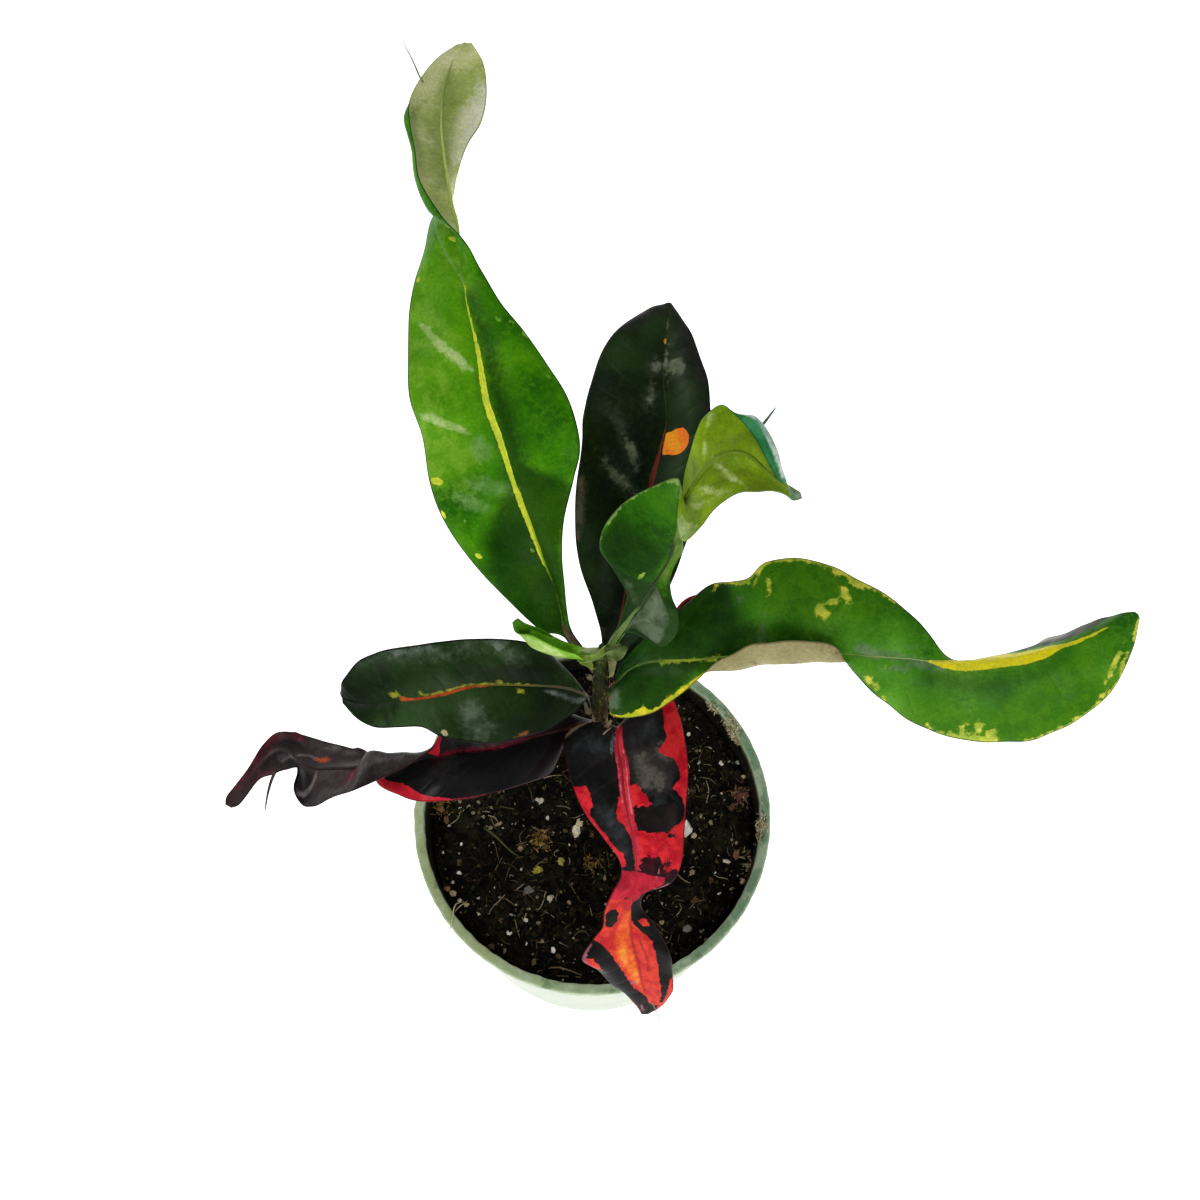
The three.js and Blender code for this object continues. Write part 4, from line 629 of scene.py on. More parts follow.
        "rib": [(0, (120, 92, 64)), (0.05, (140, 80, 62)), (0.08, (160, 30, 50)), (0.2, (128, 16, 34)), (0.33, (160, 24, 40)), (0.5, (176, 34, 50)),
                (0.58, (200, 54, 60)), (0.64, (186, 40, 44)), (0.84, (176, 44, 44)), (0.88, (60, 24, 24)), (1, (120, 40, 44))],
        "rib_shade": (140, 30, 46),
        "coats": [
            # painted sheen: the grey halo of the speckled gloss patch
            {"upper": ((58, 54, 52), (44, 40, 40)), "blur": 2, "soft": 0.3, "ragged": 1, "strength": 0.85, "shapes": [
                [(15, -0.8, -0.16), (20, -0.84, -0.18), (25.6, -0.72, -0.2)]]},
            # painted sheen: the grey speckled gloss patch
            {"upper": ((108, 100, 93), (60, 55, 52)), "blur": 1.4, "soft": 0.3, "ragged": 2.4, "strength": 0.65, "shapes": [
                [(16.4, -0.66, -0.2), (20, -0.72, -0.2), (24.4, -0.6, -0.24)]]},
            # painted sheen: blue-grey gloss patches
            {"upper": ((62, 66, 70), (40, 42, 45)), "blur": 3, "soft": 0.45, "strength": 0.7, "shapes": [
                [(28, 0.3, 0.62), (34, 0.25, 0.66), (42, 0.3, 0.6)], (13, 0.45, 5, 8, 0), (30, -0.5, 5, 5, 0), (11, -0.5, 5, 6, 0)]},
            {"upper": ((226, 46, 52), (186, 20, 36)), "ragged": 0.6, "shapes": [
                [(6, -1.3, -0.86), (9, -1.3, -0.8), (12.5, -1.3, -0.72), (15.5, -1.3, -0.72), (17, -1.3, -0.55), (18.5, -1.3, -0.66),
                 (19.5, -1.3, -0.8), (21.5, -1.3, -0.85), (23.5, -1.3, -0.88), (25, -1.3, -0.75), (27.5, -1.3, -0.93),
                 (29.5, -1.3, -0.98), (32, -1.3, -0.97), (33, -1.3, -0.87), (34, -1.3, -0.6), (34.4, -1.3, 0), (40, -1.3, 0.05),
                 (45, -1.3, 0.05)],
                [(22.5, -0.2, -0.02), (25, -0.3, 0), (28, -0.44, 0), (30.5, -0.24, 0)],
                [(22.5, 0.75, 1.3), (24, 0.7, 1.3), (27, 0.74, 1.3), (29, 0.9, 1.3), (34, 0.86, 1.3), (39, 0.76, 1.3),
                 (41, 0.6, 1.3), (44, 0.6, 1.3), (45.5, 0.8, 1.3)],
                [(25, 0.08, 0.14), (26.5, 0.06, 0.17), (29, 0.04, 0.27), (31, 0.04, 0.3), (33, 0.04, 0.16), (36, 0.04, 0.12)]]},
            {"upper": ((214, 54, 70), (180, 32, 52)), "ragged": 0.4, "shapes": [
                [(5, -0.12, 0.1), (9, -0.09, 0.08), (18, -0.11, 0.09), (26, -0.11, 0.1), (33, -0.12, 0.1), (40, -0.1, 0.1), (46, -0.14, 0.14)]]},
            {"upper": ((240, 120, 132), (226, 84, 100)), "ragged": 0.5, "blur": 0.8, "strength": 0.85, "shapes": [
                [(8, 0.045, 0.075), (18, 0.045, 0.08), (27, 0.05, 0.09)], [(10, -0.075, -0.055), (22, -0.085, -0.055), (30, -0.09, -0.06)]]},
            {"upper": ((22, 17, 18), (34, 25, 25)), "ragged": 1, "shapes": [
                [(28, -0.82, -0.12), (31, -0.86, -0.12), (33.4, -0.8, -0.12), (34.6, -0.7, -0.3)], (35.6, -0.77, 1.1, 2.2, 0)]},
            {"upper": ((34, 14, 18), (72, 22, 32)), "ragged": 1.4, "soft": 0.1, "shapes": [
                [(41, -0.5, -0.2), (43, -0.62, -0.12), (45, -0.7, -0.1), (47, -0.5, -0.12)],
                (46, -0.86, 3.4, 3, 20), (43, -0.72, 2, 1.4, 0)]},
            {"upper": ((206, 44, 62), (172, 32, 50)), "ragged": 0.5, "shapes": [
                [(46.4, -0.75, 1.3), (49, -0.8, 1.3), (52, -0.8, 1.3), (55, -0.7, 0.1), (56.4, -0.3, 0.3), (57.6, 0, 0.5), (60, 0.6, 1.3)],
                [(47, 0.3, 1.3), (54, 0.3, 1.3), (57, 0.5, 1.3), (60.5, 0.85, 1.3)]]},
            {"upper": ((226, 66, 48), (196, 40, 44)), "ragged": 0.7, "shapes": [
                [(55, -0.1, 1.3), (58, -0.04, 1.3), (61, -0.04, 1.3), (63.5, -0.1, 1.3), (66, -0.34, 1.3), (69, -0.6, 1.3), (71, -0.62, 0.8),
                 (73, -0.62, 0.57), (76, -0.6, 0.42), (80, -0.57, 0.35), (86, -0.6, 0.35), (90, -0.6, 0.3), (93, -0.62, 0.1),
                 (96, -0.63, 0), (98, -1.3, 0)],
                [(85, -1.3, -0.9), (90, -1.3, -0.8), (96, -1.3, -0.78), (100, -1.3, -0.6)],
                [(77, 0.8, 0.92), (79.5, 0.7, 0.96), (82, 0.76, 0.94)], [(96, 0.9, 1.3), (103, 0.8, 1.3)], (63.6, -0.62, 2.6, 2.6, 0)]},
            {"upper": ((10, 9, 8), (26, 22, 18)), "ragged": 0.8, "shapes": [
                [(57.6, 0.6, 0.7), (59, 0.5, 0.94), (62, 0.5, 0.92), (64.5, 0.72, 0.9)]]},
            {"upper": ((244, 110, 44), (232, 80, 42)), "blur": 1.8, "soft": 0.25, "ragged": 0.5, "shapes": [
                [(60, 0.05, 0.3), (66, 0.04, 0.5), (72, 0.04, 0.4), (78, 0.04, 0.32), (86, 0.03, 0.25), (90, 0.03, 0.12)]]},
            {"upper": ((250, 166, 62), (244, 130, 46)), "blur": 0.9, "soft": 0.35, "ragged": 1.2, "strength": 0.8, "shapes": [
                (82, 0.1, 9, 1, 0), (80, 0.2, 7, 1, -4), (73, 0.24, 6, 2, 0)]},
            {"upper": ((150, 24, 38), (176, 36, 44)), "blur": 0.8, "soft": 0.3, "strength": 0.8, "shapes": [
                [(62, -0.04, 0.03), (72, -0.06, 0.02), (84, -0.06, 0.01), (92, -0.04, 0.02)],
                [(70, -0.3, -0.24), (76, -0.34, -0.28), (82, -0.3, -0.24)]]},
            {"upper": ((176, 108, 124), (130, 70, 84)), "ragged": 0.7, "strength": 0.85, "shapes": [
                [(72, 0.95, 1.3), (76, 0.92, 1.3), (80.5, 0.96, 1.3)], (87, 0.25, 1.5, 1.5, 0), (100.5, 0.5, 3.6, 1, 0),
                (47, -0.55, 3, 0.5, 0), [(48.6, -1.3, -0.9), (51, -1.3, -0.86)]]},
            # painted sheen: a pale blue streak of gloss near the foot
            {"upper": ((112, 128, 142), (84, 98, 110)), "ragged": 0.7, "blur": 0.8, "soft": 0.2, "shapes": [(11.6, 0.12, 4.6, 1, 6)]},
            {"upper": ((140, 120, 94), (98, 82, 62)), "ragged": 1, "blur": 0.8, "soft": 0.3, "strength": 0.8, "shapes": [
                [(7, 0.9, 1.3), (9.6, 0.87, 1.3), (12.6, 0.95, 1.3)]]},
        ],
    },
    "leaf_bud_folded": {
        "slot": "leaf_young", "seed": 108, "pucker": 0.04, "vein_gap": 4,
        "upper": [(20, 66, 4), (36, 92, 6), (70, 130, 16)],
        "under": [(74, 124, 20), (106, 150, 44), (142, 180, 84)],
        "edge": [(66, 128, 16), 0.35, 0.6], "vein": [(120, 170, 60), 0.12],
        "shine": [0.12, 0.14], "gloss": [0.28, 0.4],
        "rib": [(0, (150, 170, 90)), (1, (150, 190, 80))],
        "rib_shade": (110, 140, 60),
        "coats": [
            {"upper": ((150, 210, 60), (118, 186, 38)), "under": ((128, 182, 40), (104, 160, 26)), "blur": 1, "soft": 0.3, "shapes": [
                [(0, -1.3, 1.3), (8, -1.3, 1.3), (12, -1.3, 1), (16, -1.3, 0.84), (20, -1.3, 0.74), (23, -1.3, 0.7)]]},
            # painted highlight: the lit edge of the fold
            {"upper": ((150, 206, 30), (120, 186, 20)), "under": ((136, 190, 40), (112, 170, 26)), "blur": 0.8, "soft": 0.4,
             "shapes": [[(3, -1.3, -0.82), (12, -1.3, -0.84), (22, -1.3, -0.86)]]},
            {"under": ((184, 212, 126), (156, 192, 90)), "blur": 1, "soft": 0.3, "shapes": [
                [(10, -0.6, -0.4), (13, -0.84, -0.2), (16, -0.86, 1), (23, -0.88, 1)]]},
            {"upper": ((186, 214, 110), (150, 190, 70)), "ragged": 0.4, "shapes": [
                (15.6, 0.88, 1, 2.4, 0), (12, 0.3, 1.6, 0.9, 20)]},
        ],
    },
    "leaf_under_short": {
        "slot": "leaf_purple", "seed": 109, "pucker": 0.06, "vein_gap": 5,
        "upper": [(6, 12, 5), (12, 20, 8), (26, 32, 17)],
        "under": [(50, 34, 36), (70, 48, 48), (90, 60, 60)],
        "edge": [(190, 44, 36), 0.9, 0.95], "vein": [(70, 60, 50), 0.06],
        "shine": [0.12, 0.15], "gloss": [0.28, 0.42],
        "rib": [(0, (150, 60, 60)), (1, (120, 50, 50))],
        "rib_shade": (90, 40, 40),
        "coats": [],
    },
}

# Small things set one by one on the soil: x, y, radius, tone
PERLITE = [
    (-42.7, -0.2, 0.6, (254, 254, 248)), (-39, -6.3, 0.6, (254, 254, 242)), (-39.5, 4.4, 0.5, (254, 248, 238)),
    (-39.4, -14.5, 0.7, (254, 254, 246)), (-41.4, -16.9, 0.5, (242, 236, 216)), (-39.2, -22.6, 0.6, (248, 236, 198)),
    (-33.6, -26.7, 0.5, (232, 224, 198)), (-21.1, -13.9, 0.6, (220, 216, 198)), (-19.7, -29.1, 0.6, (248, 242, 226)),
    (-19.6, -35.6, 0.6, (242, 236, 220)), (-4.7, -2.4, 1.6, (248, 240, 210)), (-3.8, 0.2, 1.2, (226, 214, 176)),
    (-15.9, 7.4, 1, (210, 204, 190)), (-24.4, -32.6, 0.7, (248, 244, 232)), (-11.4, -37.9, 0.9, (254, 250, 236)),
    (-18.6, -20.8, 1.2, (120, 120, 108)), (-12.2, -22.8, 1, (216, 210, 190)), (-7, -6.5, 0.4, (248, 244, 236)),
    (28.4, -1.4, 1.9, (254, 254, 242)), (35.4, 0.1, 0.9, (150, 140, 112)), (32.4, 2.2, 0.8, (160, 152, 126)),
    (38.7, 18.6, 0.7, (248, 244, 232)), (32.1, 18.9, 0.8, (164, 162, 154)), (43.8, 18.9, 0.7, (164, 162, 154)),
    (39.9, -11.5, 0.9, (236, 228, 202)), (36.4, -14.6, 0.5, (254, 254, 244)), (43, -6, 0.8, (170, 156, 130)),
    (28, -31.5, 1.2, (150, 150, 138)), (33.6, -34.8, 1, (96, 96, 66)), (25.5, 23, 0.8, (140, 140, 130)),
    (-24, -27.5, 0.5, (226, 220, 210)), (4, -24, 0.6, (188, 176, 164)), (-2.7, -31, 0.5, (150, 146, 138)),
    (44.6, -17, 0.9, (216, 202, 164)), (41.4, -19.4, 0.7, (170, 150, 116)), (45.4, 14.4, 0.7, (198, 188, 154)),
    (30.4, -3.4, 0.9, (210, 198, 154)), (37.6, -21, 0.5, (242, 236, 220)), (29, 27.6, 0.8, (242, 238, 220)),
    (31.6, 29.6, 0.5, (254, 248, 236)), (-44.6, -8.4, 0.5, (248, 242, 226)), (-34, 6.4, 0.7, (150, 140, 110)),
    (-30, -15.4, 0.5, (210, 202, 176)), (-13.4, 1.6, 0.6, (232, 224, 210)), (-2, -20, 0.5, (210, 202, 188)),
]
BARK_CHIPS = [
    (-45.2, 5.2, 1.6, (150, 116, 70)), (-43.6, 1.6, 1.2, (122, 92, 58)), (-43.1, -18.7, 1.1, (190, 150, 100)),
    (-41.4, -20.4, 1, (206, 184, 140)), (-37.4, -24, 1, (214, 200, 150)), (-16.3, -14.2, 1.2, (170, 162, 62)),
    (-9, -11.5, 1.3, (184, 178, 84)), (44.5, 7.7, 1.8, (110, 66, 50)), (42, 5.2, 1.4, (96, 62, 50)),
    (43.5, -9, 1.4, (140, 100, 76)), (-17, -41, 1.1, (120, 104, 74)), (12, -33, 1.3, (84, 66, 58)),
    (9, -28, 1.1, (96, 76, 66)), (22, -12, 1.4, (70, 52, 40)), (30, 10, 1.2, (76, 64, 50)),
]
# Roots on the soil: path as x, y and lift above the soil, radius, tone
ROOTS = [
    ([[-34.3, -0.2, 0.1], [-28.9, -3.9, 0.7], [-24.4, -8.4, 0.5], [-22, -10, 0]], 0.34, (82, 88, 50)),
    ([[-23.2, -9.6, 0.2], [-24.6, -13.6, 0.6], [-25.8, -17.5, 0]], 0.26, (66, 66, 40)),
    ([[-21, -19, 0], [-22, -24, 0.6], [-20, -28, 0]], 0.24, (70, 54, 38)),
    ([[-28.1, -21.1, 0], [-25.2, -23, 0.6], [-22.1, -25.2, 0]], 0.16, (130, 110, 76)),
    ([[-16.7, -43.6, 0], [-10.3, -42.7, 0.6], [-0.6, -46, 0]], 0.22, (150, 134, 100)),
    ([[-10.5, -45, 0], [-5, -45.4, 0.6], [-0.3, -46, 0]], 0.18, (120, 106, 80)),
    ([[34, 23.9, 0], [35.6, 23.4, 0.7], [37, 22.3, 0]], 0.18, (200, 190, 160)),
    ([[34.1, 13.6, 0], [34.9, 9.9, 0.7], [34, 5.9, 0]], 0.16, (150, 146, 130)),
    ([[-11.7, 5.9, 0], [-8, 5.2, 0.7], [-5.2, 3.7, 0]], 0.16, (130, 124, 104)),
    ([[-10.6, -27.9, 0], [-8.6, -29.8, 0.5], [-6.5, -30.9, 0]], 0.13, (130, 104, 76)),
    ([[-15, -26, 0], [-11, -28.5, 0.5], [-9, -31, 0]], 0.12, (170, 164, 148)),
    ([[-13.5, -33, 0], [-10, -35.5, 0.4], [-7, -37, 0]], 0.1, (150, 146, 130)),
    ([[-24, -20, 0], [-19.5, -21.5, 0.5], [-16, -24.5, 0]], 0.16, (96, 76, 56)),
]
# Straws at the rim: path, radius, tone
RIM_STRAWS = [
    ([[-47.9, 5.9, 80.6], [-45.4, 7.6, 84.4], [-43.2, 10.6, 84.6]], 0.2, (190, 170, 120)),
    ([[-37.5, -24.5, 85], [-39.8, -26.8, 90.2], [-40.5, -31, 90.4], [-41.6, -35.6, 88]], 0.2, (206, 200, 150)),
    ([[-41, -28, 83], [-38.5, -26.5, 88], [-36.4, -24.6, 86]], 0.16, (200, 194, 150)),
]
# Tufts: centre, at 80 on the soil or higher at the rim; spread; hairs; length; tones; seed
STRAW = [(214, 206, 160), (170, 160, 116), (232, 224, 188), (116, 104, 72)]
RUST = [(120, 84, 62), (92, 60, 46), (150, 116, 90)]
MOSS = [(160, 124, 58), (104, 82, 38), (190, 158, 86)]
TUFTS = {
    "straw_tuft_rim": ((41.6, 26.4, 88.6), (2.4, 4.6, 2), 320, 1.8, STRAW, 71),
    "straw_tuft_back": ((36, 33.6, 89), (2.4, 2.2, 2), 80, 1.7, STRAW, 77),
    "straw_tuft_side": ((50.2, -2.7, 89), (1.6, 4.4, 2), 130, 1.7, STRAW, 72),
    "straw_tuft_low": ((46.2, -12, 80), (1.8, 3.8, 0), 90, 1.9, STRAW, 73),
    "straw_tuft_right": ((44, 8.4, 80), (3, 4.4, 0), 90, 2, RUST, 78),
    "moss_tuft_middle": ((-15.2, -4.8, 80), (2.8, 3, 0), 150, 1.7, MOSS, 74),
    "moss_tuft_front": ((-0.1, -12.1, 80), (2.6, 2.4, 0), 80, 1.7, MOSS, 75),
    "moss_tuft_left": ((-45, 5.5, 80), (2, 3.4, 0), 60, 2.2, MOSS, 76),
}
# Hair-thin tails of the leaf tips: path, radius, tones
BRISTLES = {
    "tail_back_long": ([[-43.7, 161.5, 227.8], [-44.3, 162.5, 227.6], [-47.2, 170.1, 226], [-49.9, 176.1, 224.5]], 0.24,
                       [(96, 106, 84), (128, 138, 112), (156, 166, 140)]),
    "tail_top_twisted": ([[39.5, 52.9, 250.6], [40.1, 53.7, 250.5], [42.2, 56.7, 250], [43.7, 59, 249.6]], 0.4,
                         [(34, 60, 40), (56, 86, 64), (84, 110, 88)]),
    "tail_left_purple": ([[-85.2, -1.6, 147.1], [-86.4, -4.3, 146.2], [-87.4, -8.2, 145.2], [-88, -12.2, 144]], 0.46,
                         [(44, 26, 26), (64, 42, 42), (88, 62, 60)]),
    "tail_front_red": ([[16.6, -57.1, 105.2], [17.5, -58.2, 103.2], [19.4, -62.4, 100]], 0.14,
                       [(110, 96, 88), (140, 126, 116), (166, 150, 140)]),
    "hair_front_red": ([[2.2, 4, 160], [3.2, 4.9, 160.1], [4.4, 6.2, 159.2], [5.4, 7.2, 158.6]], 0.26,
                       [(120, 112, 100), (160, 150, 136), (190, 182, 168)]),
}
# Scales and leaflets of the growing tip, and dry bits on the stem: path, half-widths, tones,
# slot, the way its face looks, how hollow it is
CROWN = {
    "crown_leaf": ([[2.8, 16.4, 197.2], [3.8, 13.9, 200], [6.5, 13.7, 202.6], [8.9, 14.8, 204]], [0.4, 0.8, 1.7, 0.5],
                   [(34, 50, 14), (68, 88, 32), (116, 136, 72)], "leaf_young", (0.2, -0.8, 1), 0.6),
    "crown_leaf_fold": ([[2.8, 16.6, 197.4], [3.4, 15, 199.6], [5.6, 14.8, 201.8], [7.6, 15.6, 203]], [0.3, 0.5, 1.1, 0.3],
                        [(38, 54, 16), (74, 92, 34), (122, 138, 76)], "leaf_young", (-0.2, 1, 0.8), 0.6),
    "bud_stalk": ([[-3.2, 13.4, 199], [-1.7, 12.9, 200], [1.3, 13.3, 200.8], [3.3, 14.8, 200.8], [4.5, 16.4, 200]],
                  [0.7, 0.9, 0.8, 0.8, 0.4], [(84, 112, 30), (118, 146, 56), (164, 186, 104)], "leaf_young", (0, -0.6, 1), 0.5),
    "crown_strip": ([[3.4, 15.4, 197], [5.2, 13.4, 198.6], [5.3, 11.9, 195], [5.1, 11.3, 191], [4, 12.6, 186]],
                    [0.5, 1.1, 0.8, 0.5, 0.25],
                    [(70, 74, 34), (98, 98, 52), (142, 136, 88)], "stem", (0.4, -1, 0.4), 0.2),
    "crown_bract": ([[0.5, 13.8, 189], [-0.4, 13.2, 194], [-1.2, 12.9, 198], [-1.6, 13.4, 200.5]], [0.4, 1, 1.7, 1.5],
                    [(76, 92, 20), (112, 128, 36), (150, 166, 66)], "leaf_young", (-0.3, -0.8, 0.8), 0.3),
    "bud_sheath": ([[2, 15.2, 199.5], [-0.6, 14.9, 200], [-3.4, 15.4, 200.2]], [0.7, 0.6, 0.2],
                   [(110, 130, 66), (146, 162, 100), (186, 198, 146)], "leaf_young", (0, -0.6, 1), 0.4),
    "dry_flake_stem": ([[5.2, 8.3, 161.2], [4.2, 7.2, 159.6], [2.6, 6.9, 158.4]], [0.3, 0.6, 0.25],
                       [(104, 88, 60), (136, 118, 82), (176, 158, 118)], "stem", (0.2, -1, 0.5), 0.3),
    "dry_ring_stem": ([[-0.4, 8.6, 158.6], [1.6, 7.6, 157.6], [3.9, 8.9, 158.4]], [0.25, 0.5, 0.25],
                      [(84, 70, 46), (120, 104, 74), (160, 144, 108)], "stem", (0, -1, 0.3), 0.2),
}
# Soft boxes: name, place in metres, side, power
LAMP_AIM = (0, 0.04, 0.15)
LAMPS = [
    ("key_box", (-0.6, 0.3, 1.0), 0.4, 3.2),
    ("front_box", (0.3, -0.7, 0.9), 0.35, 2.4),
    ("low_box", (0, -1.1, 0.25), 0.6, 2.2),
]
AIR_LIGHT = 0.35
FLOOR_HALF = 2.5
FLOOR_GLOW = 1.0


def srgb(red, green, blue):
    """A display colour of 0 to 255 as the linear colour that a shader takes."""
    share = np.array([red, green, blue]) / 255
    linear = np.where(share <= 0.04045, share / 12.92, ((share + 0.055) / 1.055) ** 2.4)
    return (*linear.tolist(), 1.0)


def smoothstep(value, low, high):
    """0 below low, 1 above high, and the cubic 3t^2 - 2t^3 between them."""
    t = np.clip((value - low) / (high - low), 0, 1)
    return t * t * (3 - 2 * t)


def ripple(x, y, seed, waves, longest, shortest):
    """A rough field from -1 to 1: the mean of sine waves of random heading and length."""
    draw = np.random.default_rng(seed)
    total = np.zeros(np.broadcast(x, y).shape)
    for _ in range(waves):
        heading, phase = draw.uniform(0, 2 * math.pi, 2)
        count = 2 * math.pi / draw.uniform(shortest, longest)
        total += np.sin(count * (x * math.cos(heading) + y * math.sin(heading)) + phase)
    return total / math.sqrt(waves)


def unit(vectors):
    """The vectors at length one."""
    return vectors / np.maximum(np.linalg.norm(vectors, axis=-1, keepdims=True), 1e-9)


def grid_faces(rows, columns, wrap=False, start=0):
    """Four-sided faces over a grid of points stored row by row. wrap joins the last column
    to the first."""
    i, j = np.meshgrid(np.arange(rows - 1), np.arange(columns - (0 if wrap else 1)), indexing="ij")
    k = (j + 1) % columns
    faces = [i * columns + j, i * columns + k, (i + 1) * columns + k, (i + 1) * columns + j]
    return np.stack(faces, -1).reshape(-1, 4) + start


def end_fans(rows, columns):
    """Triangles that close a tube of rings with a point at each end, stored after them."""
    j = np.arange(columns)
    k, count, last = (j + 1) % columns, rows * columns, (rows - 1) * columns
    start = np.stack([np.full(columns, count), k, j], -1)
    end = np.stack([np.full(columns, count + 1), last + j, last + k], -1)
    return np.concatenate([start, end]).tolist()


def piece(name, points, faces, finishes, replaces=(), finish_of_face=None, layers=None, rounded_off=True):
    """A mesh from points in millimetres that rides on the part's body. layers holds named
    values for each point: three numbers make a vector, four make a colour. A piece that
    isn't rounded off is shaded facet by facet."""
    mesh = bpy.data.meshes.new(name)
    mesh.from_pydata((np.asarray(points) * MM).tolist(), [], [list(face) for face in faces])
    for finish in finishes:
        mesh.materials.append(finish)
    if finish_of_face is not None:
        mesh.polygons.foreach_set("material_index", np.asarray(finish_of_face, np.int32))
    for label, values in (layers or {}).items():
        kind, key = ("FLOAT_VECTOR", "vector") if values.shape[1] == 3 else ("FLOAT_COLOR", "color")
        layer = mesh.attributes.new(label, kind, "POINT")
        layer.data.foreach_set(key, values.astype(np.float32).ravel())
    if rounded_off:
        mesh.shade_smooth()
    made = bpy.data.objects.new(name, mesh)
    bpy.context.scene.collection.objects.link(made)
    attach(made, "root")
    if replaces:
        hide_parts(*replaces)
    return made


class Finish:
    """A procedural material. Each method adds a node and gives back its output socket."""

    def __init__(self, name, **settings):
        self.material = bpy.data.materials.new(name)
        self.material.use_nodes = True
        self.tree = self.material.node_tree
        self.shader = self.tree.nodes["Principled BSDF"]
        self.set(**settings)

    def fill(self, node, inputs):
        for key, value in inputs.items():
            if isinstance(value, bpy.types.NodeSocket):
                self.tree.links.new(value, node.inputs[key])
            else:
                node.inputs[key].default_value = value
        return node

    def add(self, kind, inputs, **settings):
        node = self.tree.nodes.new("ShaderNode" + kind)
        for key, value in settings.items():
            setattr(node, key, value)
        return self.fill(node, inputs)

    def set(self, **settings):
        self.fill(self.shader, {key.replace("_", " "): value for key, value in settings.items()})

    def layer(self, name):
        return self.add("Attribute", {}, attribute_name=name)

    def parts(self, vector):
        return self.add("SeparateXYZ", {0: vector}).outputs

    def sum(self, operation, first, second=0.0, third=0.0):
        return self.add("Math", {0: first, 1: second, 2: third}, operation=operation).outputs[0]

    def step(self, value, low, high, start=0.0, end=1.0):
        inputs = {"Value": value, "From Min": low, "From Max": high, "To Min": start, "To Max": end}
        return self.add("MapRange", inputs, interpolation_type="SMOOTHSTEP").outputs[0]

    def noise(self, where, scale, detail=2.0, roughness=0.5):
        inputs = {"Vector": where, "Scale": scale, "Detail": detail, "Roughness": roughness}
        return self.add("TexNoise", inputs).outputs[0]

    def cells(self, where, scale, feature="F1"):
        return self.add("TexVoronoi", {"Vector": where, "Scale": scale}, feature=feature).outputs["Distance"]

    def mix(self, share, low, high, blend="MIX"):
        inputs = {0: share, 6: low, 7: high}
        return self.add("Mix", inputs, data_type="RGBA", blend_type=blend).outputs[2]

    def ramp(self, value, stops):
        """stops is a list of (place, colour)."""
        node = self.add("ValToRGB", {0: value})
        band = node.color_ramp
        while len(band.elements) < len(stops):
            band.elements.new(0.5)
        for element, (place, colour) in zip(band.elements, stops):
            element.position = place
            element.color = colour
        return node.outputs[0]

    def relief(self, height, strength, distance):
        inputs = {"Height": height, "Strength": strength, "Distance": distance}
        self.set(Normal=self.add("Bump", inputs).outputs[0])


def smooth_rows(rows, spacing):
    """A rounded path through the rows, each an array of points, by Catmull-Rom: cubic
    Hermite spans with knots spread by the root of the mean chord."""
    rows = np.asarray(rows, float)
    chord = np.linalg.norm(np.diff(rows, axis=0), axis=-1).mean(-1)
    gap = np.sqrt(chord)
    shape = (-1,) + (1,) * (rows.ndim - 1)
    slope = np.diff(rows, axis=0) / gap.reshape(shape)
    before, after = gap[:-1].reshape(shape), gap[1:].reshape(shape)
    inner = (slope[:-1] * after + slope[1:] * before) / (before + after)
    tangent = np.concatenate([slope[:1], inner, slope[-1:]])
    out = []
    for i, width in enumerate(gap):
        steps = max(1, round(chord[i] / spacing))
        t = (np.arange(steps) / steps).reshape(shape)
        out.append(
            rows[i] * (2 * t**3 - 3 * t**2 + 1) + tangent[i] * (t**3 - 2 * t**2 + t) * width
            + rows[i + 1] * (3 * t**2 - 2 * t**3) + tangent[i + 1] * (t**3 - t**2) * width
        )
    return np.concatenate([*out, rows[-1:]])


def path_length(points):
    """The distance run along a path of points, from 0 at the first."""
    steps = np.linalg.norm(np.diff(points, axis=0), axis=-1)
    return np.concatenate([np.zeros((1, *steps.shape[1:])), np.cumsum(steps, axis=0)])


def tube(path, radii, sides, flat=1.0, up=(0, 0, 1)):
    """Points and faces of a tube: a ring of points, at even angles, round each point of the
    path, in the plane across it. flat squeezes it along the up direction. A point at each
    end closes it."""
    path = np.asarray(path, float)
    along = unit(np.gradient(path, axis=0))
    side = unit(np.cross(along, np.broadcast_to(up, path.shape)))
    back = np.cross(side, along)
    angle = np.arange(sides) * 2 * math.pi / sides
    radii = np.broadcast_to(radii, (len(path),))[:, None, None]
    ring = np.cos(angle)[:, None] * side[:, None] - flat * np.sin(angle)[:, None] * back[:, None]
    points = path[:, None] + radii * ring
    faces = grid_faces(len(path), sides, wrap=True).tolist() + end_fans(len(path), sides)
    return np.concatenate([points.reshape(-1, 3), path[:1], path[-1:]]), faces


# Leaf surfaces

def blade_lines(leaf):
    """The five lines that a blade is drawn over: left margin, middle of the left half,
    midrib, middle of the right half, right margin. A middle lies half-way out and rises by
    CAMBER of its half's width, or passes through the rolled point."""
    rows = np.array(leaf["rows"], float)
    rib, left, right = rows[:, 0:3], rows[:, 3:6], rows[:, 6:9]
    ends = np.concatenate([rib[:1], rib, rib[-1:]])
    up = unit(np.cross(right - left, ends[2:] - ends[:-2]))
    middles = {}
    for label, half in (("left", left), ("right", right)):
        width = np.linalg.norm(half, axis=1, keepdims=True)
        middles[label] = rib + half / 2 + up * width * CAMBER
        for i, point in leaf.get("rolled", {}).get(label, {}).items():
            middles[label][i] = rib[i] + point
    return np.stack([rib + left, middles["left"], rib, middles["right"], rib + right], axis=1)


